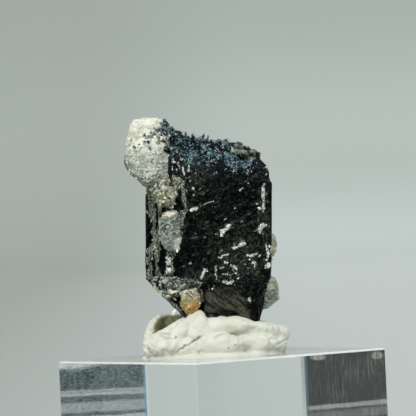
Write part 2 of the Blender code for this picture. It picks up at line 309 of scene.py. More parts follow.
def solid_copy(*nodes: str) -> bpy.types.Mesh:
    """Copy CAD nodes into one mesh in the crystal's frame, in millimetres, each node closed."""
    shape = bmesh.new()
    for node in nodes:
        shape.from_mesh(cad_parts[node].data)
    bmesh.ops.remove_doubles(shape, verts=shape.verts, dist=1e-6)
    bmesh.ops.transform(shape, matrix=LEANING.inverted(), verts=shape.verts)
    return mesh_of("solid copy", shape)


def strew(template: bmesh.types.BMesh, places: Sequence[Matrix]) -> bpy.types.Mesh:
    """Join many copies of a small shape in one mesh.

    Args:
        template: The shape, which is freed.
        places: Where each copy goes.

    Returns:
        The joined mesh, with each copy's number from 0 to 1 in the mask "one".
    """
    corners = np.array([vert.co[:] + (1.0,) for vert in template.verts])
    faces = [[vert.index for vert in face.verts] for face in template.faces]
    template.free()
    points = np.concatenate([corners @ np.array(place).T[:, :3] for place in places])
    firsts = range(0, len(points), len(corners))
    joined = [[corner + first for corner in face] for first in firsts for face in faces]
    mesh = bpy.data.meshes.new("strewn")
    mesh.from_pydata(points.tolist(), [], joined)
    paint(mesh, "one", np.random.default_rng(3).random(len(places)).repeat(len(corners)))
    return mesh


# Shader maths


class Value:
    """A shader's number socket with arithmetic: each sum adds its Math node."""

    def __init__(self, graph: "Graph", socket: bpy.types.NodeSocket) -> None:
        """Wrap a socket of a graph."""
        self.graph = graph
        self.socket = socket

    def _math(self, operation: str, *terms: Amount) -> "Value":
        """Add a Math node on these terms."""
        node = self.graph.node("ShaderNodeMath", {"operation": operation}, dict(enumerate(terms)))
        return Value(self.graph, node.outputs[0])

    def __add__(self, other: Amount) -> "Value":
        """Add."""
        return self._math("ADD", self, other)

    __radd__ = __add__

    def __sub__(self, other: Amount) -> "Value":
        """Subtract."""
        return self._math("SUBTRACT", self, other)

    def __rsub__(self, other: Amount) -> "Value":
        """Subtract from a number."""
        return self._math("SUBTRACT", other, self)

    def __mul__(self, other: Amount) -> "Value":
        """Multiply."""
        return self._math("MULTIPLY", self, other)

    __rmul__ = __mul__

    def __truediv__(self, other: Amount) -> "Value":
        """Divide."""
        return self._math("DIVIDE", self, other)

    def rise(self, low: float, high: float) -> "Value":
        """Rise smoothly from 0 at low to 1 at high."""
        given = {"Value": self, "From Min": low, "From Max": high}
        node = self.graph.node("ShaderNodeMapRange", {"interpolation_type": "SMOOTHSTEP"}, given)
        return Value(self.graph, node.outputs["Result"])


class Graph:
    """The nodes of one material, with patterns measured in millimetres."""

    def __init__(self, name: str) -> None:
        """Start a material of this name with an empty tree."""
        self.material = bpy.data.materials.new(name)
        self.material.use_nodes = True
        self.tree = self.material.node_tree
        self.tree.nodes.clear()
        self.output = self.node("ShaderNodeOutputMaterial")
        where = self.node("ShaderNodeTexCoord").outputs["Object"]
        self.place = self.node(
            "ShaderNodeVectorMath", {"operation": "SCALE"}, {0: where, "Scale": 1.0 / MM}
        ).outputs[0]

    def node(
        self, kind: str, settings: Optional[dict[str, Any]] = None, inputs: Optional[dict[Any, Any]] = None
    ) -> bpy.types.Node:
        """Add a node of any kind.

        Args:
            kind: The node's type.
            settings: Its properties.
            inputs: Numbers, colours or links by the sockets' names, identifiers or places.

        Returns:
            The node.
        """
        made = self.tree.nodes.new(kind)
        for key, setting in (settings or {}).items():
            setattr(made, key, setting)
        for key, given in (inputs or {}).items():
            socket = self._socket(made, key)
            if isinstance(given, Value):
                given = given.socket
            if isinstance(given, bpy.types.NodeSocket):
                self.tree.links.new(given, socket)
            elif isinstance(given, tuple) and len(given) == 3 and socket.type == "RGBA":
                socket.default_value = (*given, 1.0)
            else:
                socket.default_value = given
        return made

    @staticmethod
    def _socket(made: bpy.types.Node, key: Union[str, int]) -> bpy.types.NodeSocket:
        """Find an input by its place, identifier or name."""
        if isinstance(key, int):
            return made.inputs[key]
        return next((s for s in made.inputs if s.identifier == key), None) or made.inputs[key]

    def mask(self, name: str) -> Value:
        """Read a mask that was painted on the mesh."""
        return Value(self, self.node("ShaderNodeAttribute", {"attribute_name": name}).outputs["Fac"])

    def axes(self) -> list[Value]:
        """Return the coordinates X, Y and Z, in millimetres."""
        apart = self.node("ShaderNodeSeparateXYZ", None, {"Vector": self.place})
        return [Value(self, socket) for socket in apart.outputs]

    def stretched(self, per_mm: Triple, turn: float = 0.0) -> bpy.types.NodeSocket:
        """Turn the millimetre coordinates about Y, then stretch them by one number an axis."""
        place = self.place
        if turn:
            given = {"Vector": place, "Angle": math.radians(turn)}
            place = self.node("ShaderNodeVectorRotate", {"rotation_type": "Y_AXIS"}, given).outputs[0]
        return self.node("ShaderNodeMapping", None, {"Vector": place, "Scale": per_mm}).outputs[0]

    def clouds(self, per_mm: PerMm, detail: float = 2.0, roughness: float = 0.5, turn: float = 0.0) -> Value:
        """Add smooth noise from 0 to 1.

        Args:
            per_mm: Bumps in a millimetre.
            detail: How many finer layers are added.
            roughness: How strong the finer layers are.
            turn: How far a stretched pattern is turned, in degrees seen from the front.

        Returns:
            The noise.
        """
        even = isinstance(per_mm, float)
        place = self.place if even else self.stretched(per_mm, turn)
        given = {"Vector": place, "Scale": per_mm if even else 1.0, "Detail": detail, "Roughness": roughness}
        return Value(self, self.node("ShaderNodeTexNoise", None, given).outputs["Fac"])

    def cell_picks(self, per_mm: float) -> Value:
        """Add one random number from 0 to 1 for each cell of a pattern."""
        node = self.node("ShaderNodeTexVoronoi", None, {"Vector": self.place, "Scale": per_mm})
        apart = self.node("ShaderNodeSeparateColor", None, {"Color": node.outputs["Color"]})
        return Value(self, apart.outputs[0])

    def blend(self, share: Amount, low: Any, high: Any) -> bpy.types.NodeSocket:
        """Mix two colours.

        Args:
            share: 0 for the first colour, 1 for the second.
            low: The first colour, or a link to one.
            high: The second colour, or a link to one.

        Returns:
            The mixed colour.
        """
        given = {"Factor_Float": share, "A_Color": low, "B_Color": high}
        node = self.node("ShaderNodeMix", {"data_type": "RGBA"}, given)
        return next(s for s in node.outputs if s.identifier == "Result_Color")

    def bump(self, height: Value, stand_out: float, strength: float = 1.0) -> bpy.types.NodeSocket:
        """Turn a height into a normal.

        Args:
            height: The relief, from 0 to 1.
            stand_out: How far 1 stands out, in millimetres.
            strength: How much of it shows.

        Returns:
            The normal.
        """
        given = {"Height": height, "Distance": stand_out * MM, "Strength": strength}
        return self.node("ShaderNodeBump", None, given).outputs["Normal"]

    def principled(self, **sockets: Any) -> bpy.types.Node:
        """Add a Principled shader, given its sockets with _ for each space in their names."""
        given = {name.replace("_", " "): value for name, value in sockets.items()}
        return self.node("ShaderNodeBsdfPrincipled", None, given)

    def finish(self, shader: bpy.types.Node) -> bpy.types.Material:
        """Link the last shader to the output and return the material."""
        self.tree.links.new(shader.outputs[0], self.output.inputs["Surface"])
        return self.material

    def surface(self, **sockets: Any) -> bpy.types.Material:
        """Finish the material with one Principled shader, given its sockets as above."""
        return self.finish(self.principled(**sockets))


# Finishes


class Finish(Protocol):
    """A look that builds its own material."""

    def material(self) -> bpy.types.Material:
        """Build the material."""


@dataclass(frozen=True)
class SchorlFinish:
    """Glassy black tourmaline with pale flecks, a mottled coat and an olive break; painted glints streak its
    striations, painted sheen runs along its slanted grain and painted highlights arc over the break.
    """

    black: Colour = (0.0006, 0.001, 0.0008)
    worn: Colour = (0.009, 0.0125, 0.0095)
    dust_and_glint: Colour = (0.46, 0.5, 0.43)
    dust_and_glint_low: Colour = (0.06, 0.07, 0.058)
    blue: Colour = (0.012, 0.03, 0.038)
    # Grey of the painted sheen along the front's slanting grain.
    flow_sheen: Colour = (0.048, 0.056, 0.047)
    # The paler olive of the break's painted highlight arcs, and the darker olive under them.
    olive: Colour = (0.08, 0.085, 0.06)
    olive_low: Colour = (0.015, 0.017, 0.012)
    veil: Colour = (0.034, 0.039, 0.032)
    fleck: Colour = (0.84, 0.86, 0.79)
    fleck_low: Colour = (0.1, 0.1, 0.08)
    coat: Colour = (0.22, 0.25, 0.195)
    coat_low: Colour = (0.013, 0.018, 0.016)
    coat_warm: Colour = (0.23, 0.225, 0.13)
    chip: Colour = (0.95, 0.96, 0.92)

    def material(self) -> bpy.types.Material:
        """Build the material."""
        graph = Graph("schorl")
        fine = graph.clouds(3.1, 4.0, 0.65)
        broad = graph.clouds(0.5, 3.0)
        crisp = graph.clouds(5.6, 3.0, 0.7)
        edges = graph.clouds(4.6, 3.0, 0.7)
        strands = graph.clouds((4.4, 4.4, 0.75), 3.0, 0.6)
        ground = graph.blend(fine.rise(0.45, 0.75) * broad.rise(0.3, 0.6), self.black, self.worn)
        ground = graph.blend(graph.mask("blue") * crisp.rise(0.5, 0.62), ground, self.blue)
        dust = (crisp + graph.mask("dust") * 0.12 + graph.mask("halo") * 0.17).rise(0.67, 0.76)
        # Painted glints: pale streaks along the striations, strongest in the masked strips.
        glint_streaks = (strands + graph.mask("glint_streak") * 0.15).rise(0.74, 0.82)
        veil = (graph.clouds(1.4, 4.0, 0.65) + graph.mask("dust") * 0.13).rise(0.54, 0.68)
        ground = graph.blend(veil * 0.5, ground, self.veil)
        # Painted sheen: grey lines along the front's slanting grain, where its facets catch the light.
        ground = graph.blend(graph.mask("flow_sheen") * fine.rise(0.44, 0.58) * 0.8, ground, self.flow_sheen)
        # One pale tone for the dust specks and for the painted glint streaks.
        dust_and_glint = graph.blend(graph.clouds(2.1, 2.0).rise(0.44, 0.62), self.dust_and_glint_low, self.dust_and_glint)
        ground = graph.blend((dust + glint_streaks).rise(0.0, 1.0) * 0.7, ground, dust_and_glint)
        # Painted highlights: paler olive arcs across the smooth break.
        highlight_arcs = graph.clouds((0.35, 0.35, 2.0), 4.0, turn=-38.0) * 0.55 + fine * 0.45
        smooth = graph.mask("break")
        ground = graph.blend(smooth, ground, graph.blend(highlight_arcs.rise(0.42, 0.6), self.olive_low, self.olive))
        coat = (graph.mask("coat") + (edges - 0.5) * 1.1 + (strands - 0.5) * 1.2).rise(0.38, 0.66)
        mottle = graph.clouds(3.4, 4.0, 0.7) * 0.6 + strands * 0.4
        coat_tone = graph.blend(mottle.rise(0.46, 0.58), self.coat_low, self.coat)
        coat_tone = graph.blend(graph.clouds(1.3, 3.0).rise(0.55, 0.7) * 0.7, coat_tone, self.coat_warm)
        coat_tone = graph.blend(crisp.rise(0.59, 0.66) * 0.85, coat_tone, self.fleck)
        ground = graph.blend(coat, ground, coat_tone)
        strength = graph.mask("fleck")
        fleck = (strength + (edges - 0.5) * 1.5).rise(0.42, 0.56)
        shown = (strength * 0.75 + crisp).rise(0.7, 1.05)
        ground = graph.blend(fleck, ground, graph.blend(shown, self.fleck_low, self.fleck))
        chip = (graph.mask("chip") + (edges - 0.5) * 1.1).rise(0.42, 0.54)
        ground = graph.blend(chip, ground, self.chip)
        dull = (fleck + coat + smooth * 0.7 + chip * 0.5).rise(0.0, 1.0)
        return graph.surface(
            Base_Color=ground,
            Roughness=fine * 0.25 + 0.16 + dull * 0.4,
            Specular_IOR_Level=0.025,
            Coat_Weight=(1.0 - dull) * fine.rise(0.5, 0.66) * 0.55,
            Coat_Roughness=0.14,
            Normal=graph.bump(fine + fleck * 0.6, 0.07),
        )


@dataclass(frozen=True)
class NeedleFinish:
    """Fine tourmaline needles, from near black to pale blue grey."""

    dark: Colour = (0.001, 0.002, 0.0025)
    blue: Colour = (0.028, 0.1, 0.136)
    pale: Colour = (0.27, 0.52, 0.59)
    glint: Colour = (0.86, 0.94, 0.94)

    def material(self) -> bpy.types.Material:
        """Build the material."""
        graph = Graph("needles")
        pick = graph.mask("one")
        tone = pick * 0.4 + graph.clouds(1.7, 2.0, 0.6).rise(0.38, 0.62) * 0.35
        tone = tone + graph.clouds(0.42, 3.0, 0.6).rise(0.36, 0.66) * 0.35
        colour = graph.blend(tone.rise(0.41, 0.69), self.dark, self.blue)
        colour = graph.blend(tone.rise(0.61, 0.82), colour, self.pale)
        colour = graph.blend((pick * 0.8 + tone * 0.3).rise(0.9, 0.94), colour, self.glint)
        return graph.surface(
            Base_Color=colour,
            Roughness=graph.clouds(2.0) * 0.2 + 0.25,
            Specular_IOR_Level=0.15,
        )


@dataclass(frozen=True)
class GrainFinish:
    """Small loose or half sunk grains, each with a tone of its own."""

    name: str
    low: Colour
    high: Colour
    roughness: float

    def material(self) -> bpy.types.Material:
        """Build the material."""
        graph = Graph(self.name)
        fine = graph.clouds(3.5, 3.0, 0.7)
        tone = graph.mask("one") * 0.8 + fine * 0.5 - 0.15
        return graph.surface(
            Base_Color=graph.blend(tone.rise(0.1, 0.9), self.low, self.high),
            Roughness=fine * 0.3 + (self.roughness - 0.15),
            Specular_IOR_Level=0.25,
            Subsurface_Weight=0.15,
            Subsurface_Radius=(1.0, 1.0, 0.85),
            Subsurface_Scale=0.4 * MM,
        )


@dataclass(frozen=True)
class FeldsparFinish:
    """White granular feldspar with warm stains and dark specks between the grains."""

    name: str = "feldspar"
    white: Colour = (0.82, 0.81, 0.7)
    shade: Colour = (0.55, 0.54, 0.41)
    stain: Colour = (0.62, 0.5, 0.26)
    dirt: Colour = (0.07, 0.08, 0.065)
    dirty: float = 0.25

    def material(self) -> bpy.types.Material:
        """Build the material."""
        graph = Graph(self.name)
        fine = graph.clouds(2.8, 5.0, 0.7)
        tone = graph.blend(fine.rise(0.36, 0.62), self.shade, self.white)
        stains = graph.clouds(0.75, 3.0).rise(0.58, 0.72)
        tone = graph.blend(stains * 0.5, tone, self.stain)
        specks = graph.clouds(2.1, 3.0, 0.6).rise(0.66, 0.72)
        tone = graph.blend(specks * self.dirty, tone, self.dirt)
        return graph.surface(
            Base_Color=tone,
            Roughness=fine * 0.3 + 0.5,
            Subsurface_Weight=0.15,
            Subsurface_Radius=(1.0, 1.0, 0.8),
            Subsurface_Scale=0.5 * MM,
            Normal=graph.bump(fine, 0.1),
        )


@dataclass(frozen=True)
class FluoriteFinish:
    """Cloudy to clear fluorite with a frosted, pitted skin."""

    name: str = "fluorite"
    milk: Colour = (0.56, 0.61, 0.53)
    deep: Colour = (0.14, 0.17, 0.135)
    frost: Colour = (0.8, 0.82, 0.76)
    white: Colour = (0.8, 0.8, 0.69)
    rim: Colour = (0.085, 0.09, 0.045)
    stain: Colour = (0.6, 0.33, 0.09)
    pit: Colour = (0.07, 0.08, 0.075)
    warm: Colour = (0.52, 0.44, 0.22)
    black: Colour = (0.003, 0.003, 0.003)
    frosted: float = 0.9
    pitted: float = 0.85
    clear: float = 0.0
    roughness: float = 0.35
    grain_of: Triple = (0.8, 0.8, 2.6)

    def material(self) -> bpy.types.Material:
        """Build the material."""
        graph = Graph(self.name)
        fine = graph.clouds(3.2, 5.0, 0.72)
        layers = graph.clouds(self.grain_of, 4.0, 0.65)
        tone = graph.blend(layers.rise(0.36, 0.6), self.deep, self.milk)
        tone = graph.blend(fine.rise(0.5, 0.62) * self.frosted, tone, self.frost)
        tone = graph.blend(graph.mask("white") * 0.9, tone, self.white)
        tone = graph.blend(graph.clouds(0.8, 3.0).rise(0.58, 0.72) * 0.35, tone, self.warm)
        pits = graph.clouds(3.3, 4.0, 0.7).rise(0.59, 0.65)
        tone = graph.blend(pits * self.pitted, tone, self.pit)
        edges = (graph.clouds(2.6, 3.0) - 0.5) * 0.6
        tone = graph.blend((graph.mask("rim") + edges * 0.6).rise(0.25, 0.7) * 0.9, tone, self.rim)
        tone = graph.blend((graph.mask("stain") + edges).rise(0.25, 0.85) * 0.8, tone, self.stain)
        tone = graph.blend((graph.mask("black") + edges).rise(0.35, 0.65), tone, self.black)
        return graph.surface(
            Base_Color=tone,
            Roughness=fine * 0.3 + (self.roughness - 0.1),
            IOR=1.434,
            Transmission_Weight=self.clear,
            Subsurface_Weight=0.3,
            Subsurface_Radius=(1.0, 1.1, 0.9),
            Subsurface_Scale=1.0 * MM,
            Normal=graph.bump(fine, 0.07),
        )


@dataclass(frozen=True)
class MatrixFinish:
    """A granular crust: clear, cream and olive grains packed together."""

    name: str = "matrix"
    grey: Colour = (0.17, 0.19, 0.145)
    cream: Colour = (0.8, 0.8, 0.68)
    olive: Colour = (0.115, 0.11, 0.035)
    black: Colour = (0.01, 0.011, 0.01)
    stain: Colour = (0.6, 0.33, 0.09)
    blackened: float = 0.35
    creamy: float = 0.75

    def material(self) -> bpy.types.Material:
        """Build the material."""
        graph = Graph(self.name)
        fine = graph.clouds(3.0, 4.0, 0.7)
        picks = graph.cell_picks(2.6)
        tone = graph.blend(picks.rise(0.3, 0.8) * self.creamy, self.grey, self.cream)
        tone = graph.blend(graph.clouds(1.1, 4.0, 0.65).rise(0.48, 0.6) * 0.85, tone, self.olive)
        dark = (graph.clouds(1.3, 4.0, 0.7) + graph.mask("dark") * 0.2).rise(0.55, 0.64) * self.blackened
        tone = graph.blend(dark, tone, self.black)
        tone = graph.blend(fine.rise(0.57, 0.68) * self.creamy, tone, self.cream)
        blotches = (graph.mask("dark") + (fine - 0.5) * 1.6).rise(0.5, 0.7)
        tone = graph.blend(blotches * 0.95, tone, self.black)
        tone = graph.blend(graph.mask("white") * fine.rise(0.38, 0.54), tone, self.cream)
        tone = graph.blend(graph.mask("stain").rise(0.2, 0.8) * 0.8, tone, self.stain)
        return graph.surface(
            Base_Color=tone,
            Roughness=fine * 0.3 + 0.3,
            Specular_IOR_Level=0.07,
            Subsurface_Weight=0.2,
            Subsurface_Radius=(1.0, 1.0, 0.8),
            Subsurface_Scale=0.6 * MM,
            Normal=graph.bump(fine, 0.1),
        )


@dataclass(frozen=True)
class TackFinish:
    """Cream white mineral tack, waxy and faintly greasy, with crumbs pressed in, and painted shade in its
    hollow, its creases and its pits.
    """

    cream: Colour = (0.7, 0.715, 0.64)
    shade: Colour = (0.6, 0.615, 0.505)
    # Olive of the painted shade in the hollow, and grey olive of the painted shade in folds and pits.
    deep: Colour = (0.19, 0.19, 0.08)
    fold: Colour = (0.3, 0.3, 0.2)
    crumb: Colour = (0.1, 0.16, 0.2)

    def material(self) -> bpy.types.Material:
        """Build the material."""
        graph = Graph("tack")
        fine = graph.clouds(2.4, 5.0, 0.6)
        broad = graph.clouds(0.28, 3.0)
        tone = graph.blend(broad.rise(0.35, 0.65) * 0.5 + fine.rise(0.4, 0.7) * 0.3, self.cream, self.shade)
        # Painted shade: the hollow behind the curled lip darkened to olive.
        tone = graph.blend(graph.mask("hollow_shade") * (fine.rise(0.3, 0.6) * 0.2 + 0.75), tone, self.deep)
        # Painted shade in the creases and pits.
        tone = graph.blend(graph.mask("crease_and_shade") * 0.7, tone, self.fold)
        tone = graph.blend(graph.mask("crumb").rise(0.35, 0.65) * 0.8, tone, self.crumb)
        return graph.surface(
            Base_Color=tone,
            Roughness=fine * 0.3 + 0.28,
            Subsurface_Weight=0.3,
            Subsurface_Radius=(1.0, 0.95, 0.7),
            Subsurface_Scale=0.8 * MM,
            Normal=graph.bump(fine, 0.07),
        )


@dataclass(frozen=True)
class AcrylicFinish:
    """Clear polished acrylic, faintly marked, with dust on its top and a painted highlight along its upper
    edge.
    """

    tint: Colour = (0.975, 0.985, 0.98)
    # Tone of the dust on the top, also the colour of the painted highlight along the upper edge.
    dust: Colour = (0.8, 0.83, 0.8)
    film: float = 0.2
    edge_highlight: float = 0.62
    edge: Span = (0.34, 0.28)
    skin: Span = (0.03, 0.01)

    def material(self) -> bpy.types.Material:
        """Build the material."""
        graph = Graph("acrylic")
        marks = graph.clouds((0.06, 0.06, 0.5), 3.0)
        height = graph.axes()[2]
        on_top = height.rise(*(BLOCK_TOP - depth for depth in self.skin))
        on_edge = height.rise(*(BLOCK_TOP - depth for depth in self.edge)) - on_top
        clear = graph.principled(
            Base_Color=self.tint,
            Roughness=marks.rise(0.55, 0.9) * 0.03,
            IOR=1.491,
            Transmission_Weight=1.0,
            Normal=graph.bump(graph.clouds(0.12, 1.0), 0.01, 0.2),
        )
        dust_and_edge_highlight = graph.principled(Base_Color=self.dust, Roughness=0.8)
        # Dust on the top, and a painted highlight along the upper edge.
        film = (on_top * self.film + on_edge * self.edge_highlight) * (graph.clouds(0.25, 4.0, 0.6) * 0.6 + 0.7)
        layers = {0: film, 1: clear.outputs[0], 2: dust_and_edge_highlight.outputs[0]}
        return graph.finish(graph.node("ShaderNodeMixShader", None, layers))


# Marks seen from the front


class Mark(Protocol):
    """Something painted on a stone as it is seen from the front."""

    def cover(self, points: np.ndarray) -> np.ndarray:
        """Return how much of the mark is at each point, from 0 to 1."""


@dataclass(frozen=True)
class Patch:
    """An oval mark: its middle, half sizes, tilt and strength."""

    x: float
    z: float
    half_x: float
    half_z: float
    tilt: float = 0.0
    strength: float = 1.0

    def cover(self, points: np.ndarray) -> np.ndarray:
        """Return 1 in the mark's middle, falling to 0 past its edge."""
        turn = math.radians(self.tilt)
        off_x = points[:, 0] - self.x
        off_z = points[:, 2] - self.z
        along = off_x * math.cos(turn) + off_z * math.sin(turn)
        across = off_z * math.cos(turn) - off_x * math.sin(turn)
        away = np.hypot(along / self.half_x, across / self.half_z)
        return self.strength * (1.0 - rise(away, 0.2, 1.5))


@dataclass(frozen=True)
class Stroke:
    """A mark drawn along a line: the line's points (x, z), its half width and strength."""

    line: tuple[Point, ...]
    half: float
    strength: float = 1.0

    def cover(self, points: np.ndarray) -> np.ndarray:
        """Return 1 along the line, falling to 0 past its edge."""
        spots = points[:, [0, 2]]
        nearest = np.full(len(spots), np.inf)
        for start, end in zip(self.line, self.line[1:]):
            run = np.subtract(end, start)
            share = np.clip((spots - start) @ run / (run @ run), 0.0, 1.0)
            away = np.linalg.norm(spots - start - share[:, None] * run, axis=1)
            nearest = np.minimum(nearest, away)
        return self.strength * (1.0 - rise(nearest / self.half, 0.2, 1.6))


@dataclass(frozen=True)
class Outline:
    """A mark that fills an outline of points (x, z), with a soft edge."""

    corners: tuple[Point, ...]
    soft: float = 0.25
    strength: float = 1.0

    def cover(self, points: np.ndarray) -> np.ndarray:
        """Return 1 inside the outline, falling to 0 outside it."""
        x, z = points[:, 0], points[:, 2]
        inside = np.zeros(len(x), dtype=bool)
        nearest = np.full(len(x), np.inf)
        for (x0, z0), (x1, z1) in zip(self.corners, self.corners[1:] + self.corners[:1]):
            straddles = (z0 > z) != (z1 > z)
            crossing = x0 + (z - z0) * (x1 - x0) / (z1 - z0 if z1 != z0 else 1.0)
            inside ^= straddles & (x < crossing)
            length = (x1 - x0) ** 2 + (z1 - z0) ** 2
            share = np.clip(((x - x0) * (x1 - x0) + (z - z0) * (z1 - z0)) / length, 0.0, 1.0)
            nearest = np.minimum(nearest, np.hypot(x - x0 - share * (x1 - x0), z - z0 - share * (z1 - z0)))
        return self.strength * rise(np.where(inside, nearest, -nearest), -self.soft, self.soft)


def cover_all(marks: Sequence[Mark], points: np.ndarray) -> np.ndarray:
    """Return the strongest cover of several marks at each point."""
    return np.max([mark.cover(points) for mark in marks], axis=0)


def ragged(points: np.ndarray, reach: float, seed: int) -> np.ndarray:
    """Shift points by noise, so that marks read there get broken edges."""
    seeds = range(seed, seed + 3)
    shifts = [wobble(points, 1.1, pick) + 0.7 * wobble(points, 2.9, pick + 3) for pick in seeds]
    return points + reach * np.stack(shifts, axis=1)


def ring(x: float, z: float, radius: float, start: float = 0.0, end: float = 360.0) -> tuple[Point, ...]:
    """Return points round a middle, for a curled mark; the turns are in degrees."""
    turns = np.radians(np.linspace(start, end, 13))
    return tuple((x + radius * math.cos(turn), z + radius * math.sin(turn)) for turn in turns)


FLECKS: tuple[Mark, ...] = (
    Outline(((1.54, 21.6), (2.1, 21.5), (2.2, 21.1), (1.8, 20.7), (1.4, 20.4), (1.15, 20.2), (1.05, 19.6),
        (0.65, 19.7), (0.4, 20.2), (0.4, 20.5), (0.9, 20.7), (1.2, 21.1)), 0.16),
    Outline(((6.9, 21.6), (7.4, 21.7), (7.9, 21.5), (7.8, 21.1), (7.3, 21.1), (7.0, 20.8), (7.0, 20.3),
        (6.6, 20.2), (6.3, 20.4), (5.7, 20.3), (6.2, 20.6), (6.6, 20.9), (6.8, 21.2)), 0.16),
    Outline(((3.7, 18.6), (4.5, 18.8), (4.6, 18.5), (4.2, 18.05), (3.8, 17.8), (3.4, 17.9), (3.3, 18.15),
        (3.55, 18.4)), 0.14),
    Outline(((3.4, 17.9), (2.7, 17.6), (2.35, 17.65), (2.2, 18.0), (2.75, 18.05), (3.3, 18.15)), 0.18, 0.72),
    Outline(((1.95, 16.9), (1.85, 16.6), (1.4, 16.4), (0.95, 16.3), (0.65, 15.95), (0.25, 15.95),
        (0.15, 16.2), (0.55, 16.4), (0.8, 16.7), (1.45, 16.8)), 0.16, 0.8),
    Stroke(((0.3, 19.9), (-1.1, 20.0)), 0.2, 0.42),
    Stroke(((2.6, 21.2), (3.3, 21.4), (3.9, 21.8)), 0.24, 0.42), Patch(1.4, 15.36, 0.44, 0.2, 0, 0.75),
    Stroke(((2.2, 15.0), (3.2, 14.4)), 0.22, 0.85), Patch(0.8, 14.6, 0.6, 0.2, 0, 0.72),
    Patch(-0.28, 14.5, 0.17, 0.44, 0, 0.95), Stroke(((-0.2, 13.8), (-0.2, 12.3)), 0.15, 0.55),
    Stroke(((-1.85, 14.2), (-2.3, 13.3), (-2.6, 12.9)), 0.25, 0.95), Patch(-4.3, 15.3, 0.26, 0.3, 40, 0.9),
    Patch(-3.4, 15.9, 0.14, 0.14, 0, 0.8), Stroke(((4.9, 16.5), (5.5, 16.4), (6.25, 16.85)), 0.2, 0.9),
    Patch(4.5, 15.9, 0.4, 0.16, 0, 0.55), Patch(5.2, 15.8, 0.14, 0.14, 0, 0.8),
    Patch(5.9, 15.4, 0.48, 0.34, 10, 0.86), Patch(6.15, 14.75, 0.17, 0.42, 0, 0.86),
    Patch(4.9, 14.5, 0.26, 0.24, 0, 0.6), Patch(6.7, 16.5, 0.14, 0.2, 0, 0.8),
    Stroke(((8.0, 18.2), (8.15, 16.7)), 0.18, 0.85), Stroke(((8.5, 18.0), (8.5, 16.9)), 0.12, 0.8),
    Stroke(((8.3, 16.6), (7.9, 15.8)), 0.16, 0.7),
    Outline(((8.1, 15.6), (8.45, 15.3), (8.4, 14.6), (8.2, 14.2), (8.05, 14.5), (7.6, 14.3), (7.65, 14.8),
        (7.95, 15.1)), 0.18, 0.66),
    Stroke(((7.6, 20.6), (7.3, 19.5)), 0.14, 0.45), Patch(7.7, 10.2, 0.45, 0.7, 0, 0.7),
    Stroke(((2.6, 12.5), (1.9, 12.1), (1.1, 12.3)), 0.26, 0.9), Patch(3.5, 13.0, 0.26, 0.22, 30, 0.8),
    Stroke(((0.8, 13.6), (2.2, 13.3), (3.3, 13.8)), 0.14, 0.55),
    Stroke(ring(-0.9, 11.6, 0.5, 150, 390), 0.14, 0.52),
    Outline(((4.8, 9.3), (5.1, 9.75), (5.6, 9.6), (5.35, 9.3), (5.5, 9.0), (5.1, 9.1)), 0.12),
    Outline(((7.7, 10.9), (8.0, 10.7), (7.9, 10.2), (7.6, 10.3)), 0.12, 0.9), Patch(-3.9, 27.2, 0.26, 0.26),
    Patch(-3.7, 26.3, 0.22, 0.26, 0, 0.7), Stroke(((-4.2, 23.8), (-3.4, 24.1)), 0.26, 1.0),
    Stroke(((-3.4, 24.1), (-0.6, 25.4)), 0.13, 0.6),
    Outline(((7.4, 28.3), (7.75, 28.0), (7.6, 26.4), (7.7, 24.0), (7.2, 23.2), (7.2, 25.4), (7.1, 26.8)),
        0.18, 0.74),
    Patch(6.75, 24.1, 0.34, 0.32), Patch(6.3, 24.9, 0.24, 0.24, 0, 0.9),
    Stroke(((4.2, 27.4), (3.5, 27.1)), 0.16, 0.6), Patch(5.0, 28.2, 0.18, 0.18, 0, 0.8),
    Patch(1.3, 22.5, 0.18, 0.18, 0, 0.7), Patch(2.9, 24.1, 0.18, 0.18, 0, 0.7),
    Patch(-7.1, 31.7, 0.4, 0.5, 0, 0.75), Patch(-6.3, 31.3, 0.24, 0.22), Patch(-5.8, 32.0, 0.22, 0.22),
    Patch(-6.9, 29.3, 0.3, 0.3, 0, 0.9), Stroke(((-5.5, 30.6), (-5.2, 29.6)), 0.16, 0.9),
    Stroke(((-4.6, 31.0), (-4.4, 30.0)), 0.16, 0.8), Patch(-4.3, 28.6, 0.15, 0.2, 0, 0.7),
    Stroke(((-7.4, 33.8), (-7.3, 33.3)), 0.12, 0.7), Stroke(((-6.3, 33.4), (-6.2, 32.8)), 0.1, 0.6),
    Stroke(((-7.3, 30.8), (-7.2, 30.4)), 0.13, 0.75), Stroke(((-6.5, 30.4), (-6.4, 29.9)), 0.12, 0.7),
    Stroke(((-6.0, 30.9), (-5.95, 30.5)), 0.12, 0.6), Stroke(((-6.1, 28.8), (-6.05, 28.4)), 0.12, 0.65),
    Stroke(((-5.4, 28.6), (-5.35, 28.1)), 0.1, 0.6), Stroke(((-5.0, 27.2), (-4.95, 26.7)), 0.1, 0.55),
    Patch(7.7, 30.6, 0.7, 0.8, 0, 0.4), Patch(7.9, 29.6, 0.2, 0.2, 0, 0.8),
    Stroke(((-2.4, 10.8), (-2.4, 9.2)), 0.2, 0.8),
    Stroke(((-8.1, 10.1), (-7.1, 9.0), (-6.0, 7.8)), 0.16, 0.7),
)
COATED: tuple[Mark, ...] = (
    Outline(((-11.5, 27.6), (-9.2, 27.6), (-5.6, 29.2), (-5.2, 27.0), (-4.9, 25.2), (-4.8, 24.0),
        (-5.2, 23.0), (-5.4, 21.8), (-5.8, 19.8), (-6.0, 17.6), (-6.9, 16.6), (-7.0, 13.2), (-4.7, 12.8),
        (-2.8, 12.2), (-2.6, 10.4), (-5.2, 10.4), (-8.2, 10.0), (-11.5, 12.0)), 0.3),
)
